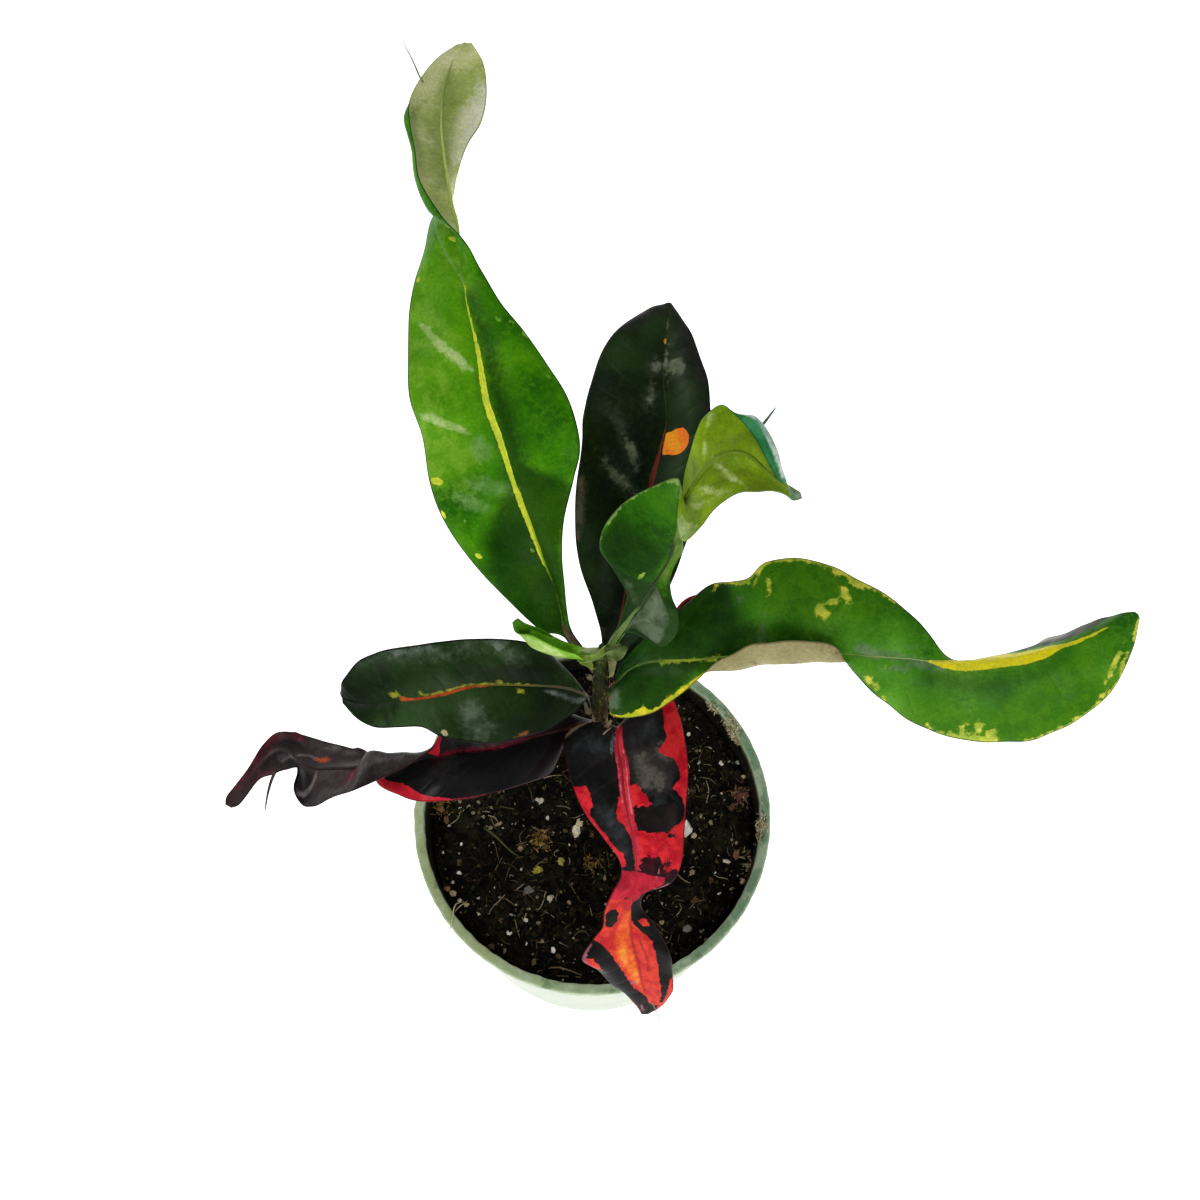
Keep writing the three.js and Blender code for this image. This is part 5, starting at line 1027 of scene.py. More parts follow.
def blade_sheet(lines, side):
    """The middle sheet of a blade: across it, the parabola through the midrib, the middle
    and the margin, with weights (1-t)(1-2t), 4t(1-t) and t(2t-1) at share t of a half."""
    t = np.abs(side)
    weights = np.zeros((5, len(side)))
    weights[2] = (1 - t) * (1 - 2 * t)
    for sign, middle, margin in ((-1, 1, 0), (1, 3, 4)):
        here = np.sign(side) == sign
        weights[middle] = np.where(here, 4 * t * (1 - t), 0)
        weights[margin] = np.where(here, t * (2 * t - 1), 0)
    return np.einsum("nkc,km->nmc", lines, weights)


def sheet_normal(sheet):
    """The direction across a sheet times the one along it: out of its upper face."""
    return unit(np.cross(np.gradient(sheet, axis=1), np.gradient(sheet, axis=0)))


def closed_sheet(sheet, half):
    """A sheet given a thickness of half to each side and closed round its edge. Gives the
    points, upper ones first, the faces, and 0 or 1 for each face: upper, or under."""
    normal = sheet_normal(sheet) * half[..., None]
    rows, columns = sheet.shape[:2]
    size, last = rows * columns, (rows - 1) * columns
    upper = grid_faces(rows, columns)
    ring = np.concatenate([
        np.arange(columns), np.arange(1, rows) * columns + columns - 1,
        last + np.arange(columns - 2, -1, -1), np.arange(rows - 2, 0, -1) * columns,
    ])
    turn = np.roll(ring, -1)
    skirt = np.stack([ring, ring + size, turn + size, turn], -1)
    points = np.concatenate([(sheet + normal).reshape(-1, 3), (sheet - normal).reshape(-1, 3)])
    kinds = [0] * len(upper) + [1] * len(upper) + [0] * len(skirt)
    return points, np.concatenate([upper, upper[:, ::-1] + size, skirt]).tolist(), kinds


def patch_field(shapes, blur, run, side, width):
    """How far inside the nearest of some shapes a point lies, as 0.5 on its outline, 0 at
    blur mm outside and 1 at blur mm inside. A spot is (run, side, length, breadth, turn in
    degrees). A strip is a list of (run, low side, high side)."""
    depth = np.full(run.shape, -float(blur))
    for shape in shapes:
        if isinstance(shape, tuple):
            at, across, length, breadth, turn = shape
            x, y = run - at, (side - across) * width
            cos, sin = math.cos(math.radians(turn)), math.sin(math.radians(turn))
            reach = np.hypot((x * cos + y * sin) * 2 / length, (y * cos - x * sin) * 2 / breadth)
            inside = (1 - reach) * min(length, breadth) / 2
        else:
            stations, low, high = np.array(shape, float).T
            inside = np.minimum(side - np.interp(run, stations, low), np.interp(run, stations, high) - side)
            inside = np.minimum(inside * width, np.minimum(run - stations[0], stations[-1] - run))
        depth = np.maximum(depth, inside)
    return np.clip(0.5 + depth / (2 * blur), 0, 1)


def make_leaf(name, leaf, look):
    """A leaf: a thin blade, veined and slightly puckered, closed round its margin, and a
    midrib tube set into it that runs back into the stem as the petiole."""
    side = np.linspace(-1, 1, BLADE_COLUMNS)
    middle = BLADE_COLUMNS // 2
    sheet = blade_sheet(smooth_rows(blade_lines(leaf), BLADE_STEP), side)
    run = path_length(sheet[:, middle])[:, None] + np.zeros_like(side)
    arc = path_length(sheet.swapaxes(0, 1)).swapaxes(0, 1)
    across = arc - arc[:, middle : middle + 1]
    width = np.where(side < 0, -across[:, :1], across[:, -1:])
    side = side + np.zeros_like(run)
    t = np.abs(side)

    lean = run - VEIN_LEAN * np.abs(across) - VEIN_BEND * across**2 / np.maximum(width, 1)
    from_vein = np.abs((lean / look["vein_gap"] + 0.5) % 1 - 0.5)
    pucker = look["pucker"] * smoothstep(width, 2, 7) * (1 - t**3)
    lift = pucker * (smoothstep(from_vein, 0, 0.32) - 0.5)
    lift += pucker * 1.4 * ripple(run, across * 1.6, look["seed"], 7, 22, 8)
    lift += MARGIN_WAVE * t**5 * smoothstep(width, 3, 8) * ripple(run, side, look["seed"] + 1, 4, 17, 7)
    sheet = sheet + sheet_normal(sheet) * lift[..., None]
    points, faces, kinds = closed_sheet(sheet, BLADE_HALF * (1 - 0.55 * t**6))

    share = run[:, middle] / run[-1, middle]
    radius = (RIB_TIP_R + (RIB_FOOT_R - RIB_TIP_R) * (1 - share) ** 1.6) * leaf.get("rib_scale", 1)
    radius *= 1 - 0.85 * smoothstep(share, 0.9, 1)
    normal = sheet_normal(sheet)[:, middle]
    rib = sheet[:, middle] - normal * (radius * RIB_SINK)[:, None]
    back = rib[0] + unit(rib[0] - rib[3]) * np.array([[2.4], [1.6], [0.8]])
    spine = np.concatenate([back, rib])
    spine_r = np.concatenate([radius[0] * np.array([1.25, 1.2, 1.08]), radius])
    rib_points, rib_faces = tube(spine, spine_r, RIB_SIDES, up=np.concatenate([normal[[0, 0, 0]], normal]))

    def layer(*fields):
        """A vector for every point: the blade's two faces, then the rib's rings and ends."""
        blade = np.stack(fields, -1)
        spine = blade[:, middle]
        rings = np.repeat(np.concatenate([spine[[0, 0, 0]], spine]), RIB_SIDES, axis=0)
        return np.concatenate([blade.reshape(-1, 3), blade.reshape(-1, 3), rings, spine[[0, -1]]])

    coats = [patch_field(coat["shapes"], coat.get("blur", PATCH_EDGE), run, side, width) for coat in look["coats"]]
    coats += [np.zeros_like(run)] * (-len(coats) % 3)
    to_margin = np.minimum((1 - t) * width, run[-1:] - run)
    layers = {
        "station": layer(run, across, side),
        "reach": layer(run / run[-1:], to_margin, width),
        **{f"coats_{k}": layer(*coats[k : k + 3]) for k in range(0, len(coats), 3)},
    }
    size = len(points)
    faces += [tuple(k + size for k in face) for face in rib_faces]
    kinds += [2] * len(rib_faces)
    finishes = [leaf_skin(name, look, "upper"), leaf_skin(name, look, "under"), rib_skin(name, look)]
    points = np.concatenate([points, rib_points])
    return piece(name + "_blade", points, faces, finishes, [name], kinds, layers)


def leaf_skin(name, look, face):
    """One face of a blade: mottled green, finer speckle, lateral veins, the coloured patches
    with ragged outlines, some of them markings and some painted highlights, sheen and shade,
    and a margin line."""
    skin = Finish(f"{name}_{face}", Specular_IOR_Level=look["shine"][face == "under"])
    where = skin.add("TexCoord", {}).outputs["Object"]
    run, across, _ = skin.parts(skin.layer("station").outputs["Vector"])
    _, to_margin, width = skin.parts(skin.layer("reach").outputs["Vector"])
    broad = skin.noise(where, 55, 3)
    fine = skin.noise(where, 650, 3, 0.6)
    dark, main, light = [srgb(*tone) for tone in look[face]]
    colour = skin.ramp(broad, [(0.36, dark), (0.5, main), (0.66, light)])
    colour = skin.mix(skin.step(fine, 0.42, 0.7, 0, 0.3), colour, light)

    out = skin.sum("ABSOLUTE", across)
    curve = skin.sum("DIVIDE", skin.sum("MULTIPLY", out, out), skin.sum("MAXIMUM", width, 1.0))
    lean = skin.sum("MULTIPLY_ADD", out, -VEIN_LEAN, run)
    lean = skin.sum("MULTIPLY_ADD", curve, -VEIN_BEND, lean)
    vein = skin.step(skin.sum("PINGPONG", lean, look["vein_gap"] / 2), 0.08, 0.75, 1, 0)
    vein = skin.sum("MULTIPLY", vein, skin.step(to_margin, 0.3, 3))
    vein_colour, strength = look["vein"]
    colour = skin.mix(skin.sum("MULTIPLY", vein, strength), colour, srgb(*vein_colour))

    blotch = skin.noise(where, 240, 2)
    # the coats hold markings and also painted highlights, sheen and shade
    for k, coat in enumerate(look["coats"]):
        if k % 3 == 0:
            fields = skin.parts(skin.layer(f"coats_{k}").outputs["Vector"])
        if face not in coat:
            continue
        field = fields[k % 3]
        first, second = [srgb(*tone) for tone in coat[face]]
        tone = skin.mix(skin.step(blotch, 0.4, 0.62), first, second)
        ragged = skin.sum("MULTIPLY_ADD", skin.sum("SUBTRACT", fine, 0.5), coat.get("ragged", 1.0), field)
        soft = coat.get("soft", 0.04)
        share = skin.step(ragged, 0.5 - soft, 0.5 + soft, 0, coat.get("strength", 1.0))
        share = skin.sum("MULTIPLY", share, skin.step(field, 0.0, 0.2))
        colour = skin.mix(share, colour, tone)

    edge_colour, edge_width, edge_strength = look["edge"]
    if face == "under":
        edge_colour = look.get("under_edge", edge_colour)
    rim = skin.step(to_margin, edge_width * 0.4, edge_width, edge_strength, 0)
    colour = skin.mix(rim, colour, srgb(*edge_colour))
    speck = skin.step(skin.noise(where, 1500, 2), 0.3, 0.7, 0.88, 1.12)
    colour = skin.add("HueSaturation", {"Color": colour, "Value": speck}).outputs[0]
    low, high = look["gloss"]
    rough = skin.step(skin.noise(where, 90, 3), 0.36, 0.64, low, high)
    skin.set(Base_Color=colour, Roughness=skin.sum("MULTIPLY_ADD", fine, 0.1, rough))
    grain = skin.sum("MULTIPLY_ADD", skin.noise(where, 1800, 2), 0.5, skin.sum("MULTIPLY", vein, -0.6))
    skin.relief(grain, 0.22, 0.0003)
    return skin.material


def rib_skin(name, look):
    """The midrib and petiole: a colour that changes along the leaf, with a fine grain."""
    skin = Finish(name + "_rib", Specular_IOR_Level=0.2)
    where = skin.add("TexCoord", {}).outputs["Object"]
    share = skin.parts(skin.layer("reach").outputs["Vector"])[0]
    fine = skin.noise(where, 500, 3, 0.6)
    wander = skin.sum("MULTIPLY_ADD", skin.sum("SUBTRACT", fine, 0.5), 0.05, share)
    colour = skin.ramp(wander, [(place, srgb(*tone)) for place, tone in look["rib"]])
    colour = skin.mix(skin.step(fine, 0.35, 0.75, 0, 0.45), colour, srgb(*look["rib_shade"]))
    skin.set(Base_Color=colour, Roughness=skin.step(fine, 0.3, 0.7, 0.35, 0.55))
    skin.relief(skin.noise(where, 1500, 2), 0.2, 0.0003)
    return skin.material


def plain_skin(name, tones, scale, rough, shine=0.3, grain=0.25):
    """A mottled finish between three tones, for the small dry and woody bits."""
    skin = Finish(name, Specular_IOR_Level=shine)
    where = skin.add("TexCoord", {}).outputs["Object"]
    mottle = skin.noise(where, scale, 4, 0.6)
    dark, main, light = [srgb(*tone) for tone in tones]
    colour = skin.ramp(mottle, [(0.34, dark), (0.5, main), (0.68, light)])
    skin.set(Base_Color=colour, Roughness=skin.step(mottle, 0.3, 0.7, rough, rough + 0.12))
    skin.relief(skin.noise(where, scale * 3, 3), grain, 0.0004)
    return skin.material


def tinted_skin(name, rough, shine=0.2, grain=0.4):
    """A finish that takes each grain's own tint and speckles it."""
    skin = Finish(name, Specular_IOR_Level=shine, Roughness=rough)
    where = skin.add("TexCoord", {}).outputs["Object"]
    speckle = skin.noise(where, 2200, 3, 0.6)
    shade = skin.add("HueSaturation", {
        "Color": skin.layer("tint").outputs["Color"], "Value": skin.step(speckle, 0.3, 0.7, 0.7, 1.2)})
    skin.set(Base_Color=shade.outputs[0])
    skin.relief(speckle, grain, 0.0002)
    return skin.material


def make_bristle(name, path, radius, skin):
    """A hair-thin tail: a tube that tapers to a point, as radius times (1-t)^0.5."""
    path = smooth_rows(np.array(path, float)[:, None], 0.5)[:, 0]
    t = np.linspace(0, 1, len(path))
    points, faces = tube(path, radius * (1 - t) ** 0.5 + 0.03, 8)
    return piece(name, points, faces, [skin])


def make_scale(name, path, halves, skin, up, hollow):
    """A small scale or leaflet: a strip along a path, halves wide to each side, its margins
    raised by hollow times the half-width."""
    rows = np.array([[*point, half, 0, 0] for point, half in zip(path, halves)], float)
    rows = smooth_rows(rows.reshape(-1, 2, 3), 0.5)
    centre, half = rows[:, 0], rows[:, 1, :1]
    along = unit(np.gradient(centre, axis=0))
    right = unit(np.cross(along, np.array(up, float)))
    rise = np.cross(right, along)
    side = np.linspace(-1, 1, 15)[None, :, None]
    sheet = centre[:, None] + right[:, None] * half[:, None] * side
    sheet = sheet + rise[:, None] * half[:, None] * hollow * side**2
    points, faces, _ = closed_sheet(sheet, np.full(sheet.shape[:2], 0.2))
    return piece(name, points, faces, [skin])


def make_stem():
    """The stem: rings round its path, swollen by NODE_SWELL where leaves join, with a low
    ridge at every old leaf scar and a fine lengthwise ripple."""
    rows = np.array([[[x, y, z], [r, 0, 0]] for x, y, z, r in STEM_PATH], float)
    rows = smooth_rows(rows, 0.45)
    centre, radius = rows[:, 0], rows[:, 1, 0]
    height = centre[:, 2]
    swell = sum(np.exp(-(((height - z) / 1.8) ** 2)) for z in LEAF_NODE_Z)
    radius = radius * (1 + NODE_SWELL * np.minimum(1, swell) * (height > 140))
    angle = np.arange(STEM_SIDES) * 2 * math.pi / STEM_SIDES
    scar = sum(
        np.exp(-(((height[:, None] - z - 0.9 * np.cos(angle - 2.4 * k)) / 0.5) ** 2))
        for k, z in enumerate(STEM_SCARS_Z))
    bark = radius[:, None] * (1 + 0.05 * scar)
    bark = bark + 0.05 * ripple(6 * np.cos(angle) + 0 * height[:, None], height[:, None] / 3, 31, 8, 5, 1.6)
    along = unit(np.gradient(centre, axis=0))
    right = unit(np.cross(along, [0.0, -1.0, 0.0]))
    back = np.cross(along, right)
    points = centre[:, None] + bark[..., None] * (
        np.cos(angle)[None, :, None] * right[:, None] + np.sin(angle)[None, :, None] * back[:, None])
    faces = grid_faces(len(centre), STEM_SIDES, wrap=True).tolist()
    faces += end_fans(len(centre), STEM_SIDES)
    points = np.concatenate([points.reshape(-1, 3), centre[[0, -1]]])

    skin = Finish("stem_bark", Specular_IOR_Level=0.1)
    where = skin.add("TexCoord", {}).outputs["Object"]
    x, y, level = skin.parts(where)
    lengthwise = skin.add("CombineXYZ", {0: x, 1: y, 2: skin.sum("MULTIPLY", level, 0.3)}).outputs[0]
    streaks = skin.noise(lengthwise, 1100, 4, 0.65)
    fine = skin.noise(where, 400, 4, 0.6)
    wander = skin.sum("MULTIPLY_ADD", skin.sum("SUBTRACT", fine, 0.5), 0.012, level)
    colour = skin.ramp(skin.step(wander, 0.08, 0.2), [
        (place, srgb(*tone)) for place, tone in STEM_TONES_AND_SHADE])
    colour = skin.mix(skin.step(fine, 0.5, 0.6, 0, 0.6), colour, srgb(26, 26, 12))
    colour = skin.mix(skin.step(streaks, 0.5, 0.58, 0, 0.65), colour, srgb(24, 26, 10))
    colour = skin.mix(skin.step(streaks, 0.44, 0.34, 0, 0.55), colour, srgb(124, 116, 74))
    ring = skin.sum("MULTIPLY", skin.step(wander, 0.1562, 0.1572), skin.step(wander, 0.1592, 0.158))
    colour = skin.mix(skin.sum("MULTIPLY", ring, 0.7), colour, srgb(168, 152, 112))
    skin.set(Base_Color=colour, Roughness=skin.step(fine, 0.3, 0.7, 0.45, 0.7))
    skin.relief(skin.sum("ADD", streaks, fine), 0.6, 0.0006)
    return piece("stem_bark", points, faces, [skin.material], ["stem"])


# Pot and soil

def rounded(profile, radius, steps):
    """A profile whose inner corners are cut back by radius, or by 0.4 of a shorter side, and
    bridged by the parabola (1-t)^2 a + 2t(1-t) corner + t^2 b."""
    profile = np.array(profile, float)
    out = [profile[:1]]
    t = np.linspace(0, 1, steps)[:, None]
    for before, corner, after in zip(profile, profile[1:], profile[2:]):
        reach = [min(radius, 0.4 * np.linalg.norm(end - corner)) for end in (before, after)]
        a = corner + unit(before - corner) * reach[0]
        b = corner + unit(after - corner) * reach[1]
        out.append((1 - t) ** 2 * a + 2 * t * (1 - t) * corner + t**2 * b)
    return np.concatenate([*out, profile[-1:]])


def wall_radius(height):
    """The pot's outer radius at a height below the rim: a straight taper."""
    return BASE_R + (WALL_TOP_R - BASE_R) * height / (POT_HEIGHT - RIM_DEPTH)


def make_pot():
    """The pot: a profile turned round Z, its rim's edges slightly ragged, and drain holes
    cut through its floor."""
    under = POT_HEIGHT - RIM_DEPTH
    profile = rounded([
        [0, 0], [BASE_R, 0], [WALL_TOP_R, under], [RIM_OUTER_R, under], [RIM_OUTER_R, POT_HEIGHT],
        [RIM_INNER_R, POT_HEIGHT], [WALL_TOP_R - WALL, under - 2],
        [wall_radius(FLOOR) - WALL, FLOOR], [0, FLOOR],
    ], 0.8, 6)[1:-1]
    steps = np.maximum(1, np.round(np.linalg.norm(np.diff(profile, axis=0), axis=1) / 3).astype(int))
    profile = np.concatenate([
        *[a + (b - a) * np.arange(n)[:, None] / n for a, b, n in zip(profile, profile[1:], steps)],
        profile[-1:],
    ])
    angle = np.arange(POT_SEGMENTS) * 2 * math.pi / POT_SEGMENTS
    radius, height = profile[:, :1], profile[:, 1:] + 0 * angle
    ragged = smoothstep(height, under - 1, under + 0.5) * (radius > 45)
    around = angle * RIM_OUTER_R
    radius = radius + 0.1 * ragged * ripple(around, height * 2, 11, 9, 6, 1.1)
    radius = radius + 0.12 * (1 - ragged) * (radius > 30) * ripple(around, height, 12, 6, 60, 25)
    height = height + 0.07 * ragged * ripple(around, radius * 2, 13, 8, 9, 1.5)
    points = np.stack([radius * np.cos(angle), radius * np.sin(angle), height], -1)
    poles = [[0, 0, 0], [0, 0, FLOOR]]
    faces = grid_faces(len(profile), POT_SEGMENTS, wrap=True).tolist()
    faces += end_fans(len(profile), POT_SEGMENTS)
    pot = piece("nursery_pot_shell", np.concatenate([points.reshape(-1, 3), poles]), faces,
                [pot_skin()], ["nursery_pot"])
    turn = (np.arange(DRAIN_HOLES) + 0.5) * 2 * math.pi / DRAIN_HOLES
    cut_holes(pot, DRAIN_RING_R * np.stack([np.cos(turn), np.sin(turn)], -1), DRAIN_HOLE_R, -FLOOR, 2 * FLOOR)
    return pot


def cut_holes(target, places, radius, low, high):
    """Cuts upright round holes through a piece with one exact boolean, applied at once, and
    joins the points that it leaves on top of each other."""
    angle = np.arange(32) * 2 * math.pi / 32
    points, faces = [], []
    for place in places:
        ring = place + radius * np.stack([np.cos(angle), np.sin(angle)], -1)
        rings = [np.column_stack([ring, np.full(32, z)]) for z in (low, high)]
        start = 66 * len(points)
        points.append(np.concatenate([*rings, [[*place, low], [*place, high]]]))
        around = grid_faces(2, 32, wrap=True).tolist() + end_fans(2, 32)
        faces += [[k + start for k in face] for face in around]
    mesh = bpy.data.meshes.new("drain_cutters")
    mesh.from_pydata((np.concatenate(points) * MM).tolist(), [], faces)
    cutter = bpy.data.objects.new("drain_cutters", mesh)
    bpy.context.scene.collection.objects.link(cutter)
    cut = target.modifiers.new("drain_holes", "BOOLEAN")
    cut.operation, cut.solver, cut.object = "DIFFERENCE", "EXACT", cutter
    weld = target.modifiers.new("weld", "WELD")
    weld.merge_threshold = 0.00001
    evaluated = target.evaluated_get(bpy.context.evaluated_depsgraph_get())
    whole = target.data
    target.data = bpy.data.meshes.new_from_object(evaluated)
    target.modifiers.clear()
    bpy.data.meshes.remove(whole)
    bpy.data.objects.remove(cutter)
    bpy.data.meshes.remove(mesh)


def pot_skin():
    """Pale green plastic, near white on the wall and sage on the rim, with painted light on the
    rim, lighter to the left and darker to the right, and painted highlights at its inner and
    outer edges; long streaks round it, dust specks, painted shade in a band under the rim,
    and inside above the soil the wall darkened by painted shade and, lower, by peat dust and
    painted shade."""
    skin = Finish("pot_plastic", Specular_IOR_Level=0.3)
    where = skin.add("TexCoord", {}).outputs["Object"]
    x, y, z = skin.parts(where)
    turn = skin.sum("ARCTAN2", y, x)
    reach = skin.sum("SQRT", skin.sum("ADD", skin.sum("MULTIPLY", x, x), skin.sum("MULTIPLY", y, y)))
    around = skin.add("CombineXYZ", {
        0: skin.sum("MULTIPLY", turn, 0.05), 1: skin.sum("MULTIPLY", z, 2.0), 2: skin.sum("MULTIPLY", reach, 1.2)})
    streaks = skin.noise(around.outputs[0], 160, 4, 0.65)
    cloud = skin.noise(where, 40, 3)
    fine = skin.noise(where, 900, 3, 0.6)
    # painted light: the rim lighter on the left, where the key lamp stands, and darker to the right
    rim = skin.ramp(skin.step(x, -0.05, 0.05), [
        (0.0, srgb(170, 186, 130)), (0.35, srgb(160, 184, 140)), (0.6, srgb(154, 180, 140)),
        (1.0, srgb(118, 154, 122))])
    # painted highlights: the rounded inner and outer edges of the rim paler
    inner = skin.step(skin.sum("MULTIPLY_ADD", fine, 0.0006, reach), 0.0504, 0.0500, 0, 0.75)
    rim = skin.mix(inner, rim, srgb(190, 206, 168))
    outer = skin.step(skin.sum("MULTIPLY_ADD", fine, 0.0006, reach), 0.0518, 0.0526, 0, 0.6)
    rim = skin.mix(outer, rim, srgb(180, 198, 158))
    rim = skin.mix(skin.step(streaks, 0.5, 0.64, 0, 0.7), rim, srgb(190, 208, 176))
    rim = skin.mix(skin.step(streaks, 0.46, 0.34, 0, 0.6), rim, srgb(92, 122, 78))
    wall = skin.mix(skin.step(cloud, 0.35, 0.65), srgb(194, 203, 188), srgb(199, 206, 192))
    wall = skin.mix(skin.step(streaks, 0.42, 0.3, 0, 0.3), wall, srgb(186, 204, 176))
    # painted shade: a dark band on the underside of the rim's overhang
    under_rim_shade_band = skin.sum("MULTIPLY", skin.step(z, 0.0868, 0.0872), skin.step(reach, 0.0524, 0.0518))
    colour = skin.mix(skin.step(z, 0.0868, 0.0874), wall, rim)
    low = skin.sum("MULTIPLY", under_rim_shade_band, skin.step(z, 0.0874, 0.0871))
    colour = skin.mix(low, colour, srgb(70, 88, 56))
    taper = skin.sum("MULTIPLY_ADD", z, (WALL_TOP_R - BASE_R) / (POT_HEIGHT - RIM_DEPTH), (BASE_R - WALL / 2) * MM)
    limit = skin.sum("MINIMUM", skin.sum("ADD", taper, skin.step(z, 0.0866, 0.0868, 0, 0.01)), 0.0502)
    bore = skin.step(skin.sum("SUBTRACT", reach, limit), 0.0002, -0.0002)
    depth = skin.sum("MULTIPLY_ADD", streaks, 0.002, z)
    # painted shade: the inner wall darker below the rim
    inside = skin.sum("MULTIPLY", bore, skin.step(depth, 0.0902, 0.0894))
    colour = skin.mix(inside, colour, srgb(92, 108, 76))
    # peat dust on the inner wall near the soil, darkened further by painted shade
    peat_dust_and_shade = skin.sum("MULTIPLY", bore, skin.step(depth, 0.0892, 0.088))
    colour = skin.mix(peat_dust_and_shade, colour, srgb(26, 24, 17))
    colour = skin.mix(skin.step(fine, 0.62, 0.72, 0, 0.3), colour, srgb(128, 118, 92))
    colour = skin.mix(skin.step(skin.noise(where, 1300, 2), 0.7, 0.76, 0, 0.7), colour, srgb(226, 230, 214))
    skin.set(Base_Color=colour, Roughness=skin.step(streaks, 0.3, 0.7, 0.42, 0.62))
    skin.relief(skin.sum("MULTIPLY_ADD", fine, 0.4, streaks), 0.25, 0.0005)
    return skin.material


def soil_height(x, y):
    """The soil's top: long swells, lumps across them, crumbs, and a drop to the wall, which
    is lower at the front left and higher at the back right."""
    swell = 1.1 * np.sin(0.16 * x + 0.9) * np.cos(0.13 * y - 0.4)
    lumps = 0.7 * np.sin(0.41 * x + 0.29 * y) * np.cos(0.37 * y - 0.22 * x + 1.3)
    crumbs = 0.35 * np.sin(1.13 * x + 0.7) * np.sin(0.97 * y + 0.31 * x)
    lean = (x * math.cos(SOIL_HIGH_ANGLE) + y * math.sin(SOIL_HIGH_ANGLE)) / SOIL_EDGE_R
    drop = (SOIL_EDGE_DROP - SOIL_EDGE_LEAN * lean) * smoothstep(np.hypot(x, y), SOIL_FLAT_R, SOIL_EDGE_R)
    return SOIL_LEVEL + swell + lumps + crumbs - drop


def fine_soil(x, y):
    """The soil's top with its clods and grains, from sine waves of 9 to 1 mm."""
    clods = np.abs(ripple(x, y, 41, 12, 9, 4))
    grains = ripple(x, y, 42, 16, 3.2, 1.1)
    return soil_height(x, y) + 0.8 * clods - 0.35 + 0.28 * grains


def make_soil():
    """The soil bed: rings from the middle of its underside, up the wall and in over the top."""
    bottom = FLOOR + SEAT_GAP
    angle = np.arange(SOIL_SEGMENTS) * 2 * math.pi / SOIL_SEGMENTS
    clear = [wall_radius(z) - WALL - SEAT_GAP - 0.1 for z in (bottom, 40)]
    sides = [(1, bottom), (clear[0], bottom), (clear[1], 40), (SOIL_EDGE_R, 74), (SOIL_EDGE_R, 76.5)]
    tops = np.arange(SOIL_EDGE_R, 0.4, -0.5)
    radius = np.array([r for r, _ in sides] + [*tops])[:, None]
    edge = np.minimum(0, 0.45 * ripple(angle * SOIL_EDGE_R, 0 * angle, 43, 9, 14, 2.5) - 0.3)
    radius = radius + edge * smoothstep(radius, 40, SOIL_EDGE_R) * (np.arange(len(radius)) > 2)[:, None]
    x, y = radius * np.cos(angle), radius * np.sin(angle)
    z = fine_soil(x, y)
    z[: len(sides)] = np.array([z for _, z in sides])[:, None]
    poles = [[0, 0, bottom], [0, 0, float(fine_soil(0.0, 0.0))]]
    points = np.concatenate([np.stack([x, y, z], -1).reshape(-1, 3), poles])
    faces = grid_faces(len(radius), SOIL_SEGMENTS, wrap=True).tolist()
    faces += end_fans(len(radius), SOIL_SEGMENTS)

    skin = Finish("damp_peat", Specular_IOR_Level=0.15, Roughness=0.95)
    where = skin.add("TexCoord", {}).outputs["Object"]
    broad, fine = skin.noise(where, 90, 4, 0.6), skin.noise(where, 900, 4, 0.65)
    colour = skin.ramp(fine, [(0.36, srgb(4, 4, 2)), (0.52, srgb(15, 14, 8)), (0.7, srgb(42, 37, 22))])
    colour = skin.mix(skin.step(broad, 0.48, 0.64, 0, 0.55), colour, srgb(44, 42, 24))
    skin.set(Base_Color=colour)
    skin.relief(fine, 0.8, 0.0012)
    return piece("potting_soil_bed", points, faces, [skin.material], ["potting_soil"])


def pebble(rings, segments):
    """Points and faces of a ball of radius one: rings of points between two poles."""
    polar = (np.arange(rings) + 1) * math.pi / (rings + 1)
    angle = np.arange(segments) * 2 * math.pi / segments
    ball = np.stack([
        np.sin(polar)[:, None] * np.cos(angle), np.sin(polar)[:, None] * np.sin(angle),
        -np.cos(polar)[:, None] + 0 * angle], -1)
    points = np.concatenate([ball.reshape(-1, 3), [[0, 0, -1], [0, 0, 1]]])
    return points, grid_faces(rings, segments, wrap=True), np.array(end_fans(rings, segments))


def scatter(name, places, sizes, tints, shape, seed, skin, flat=0.7):
    """A lump at each place: a pebble stretched by up to a third, dented at random, turned,
    and sunk a quarter into what it lies on."""
    draw = np.random.default_rng(seed)
    base, quads, fans = pebble(*shape)
    count, corners = len(places), len(base)
    stretch = draw.uniform(0.67, 1.33, (count, 1, 3)) * np.array([1, 1, flat])
    dents = 1 + draw.uniform(-0.4, 0.4, (count, corners, 1))
    turn = draw.uniform(0, 2 * math.pi, count)
    tip = draw.uniform(-0.5, 0.5, count)
    lumps = base[None] * dents * stretch
    cos, sin = np.cos(tip)[:, None], np.sin(tip)[:, None]
    lumps = np.stack([
        lumps[..., 0] * cos - lumps[..., 2] * sin, lumps[..., 1],
        lumps[..., 0] * sin + lumps[..., 2] * cos], -1)
    cos, sin = np.cos(turn)[:, None], np.sin(turn)[:, None]
    lumps = np.stack([
        lumps[..., 0] * cos - lumps[..., 1] * sin, lumps[..., 0] * sin + lumps[..., 1] * cos,
        lumps[..., 2]], -1)
    points = places[:, None] + lumps * sizes[:, None, None]
    faces = []
    for kind in (quads, fans):
        faces += (kind[None] + (np.arange(count) * corners)[:, None, None]).reshape(-1, kind.shape[1]).tolist()
    tint = np.repeat(np.column_stack([tints, np.ones(count)]), corners, axis=0)
    return piece(name, points.reshape(-1, 3), faces, [skin], layers={"tint": tint}, rounded_off=False)


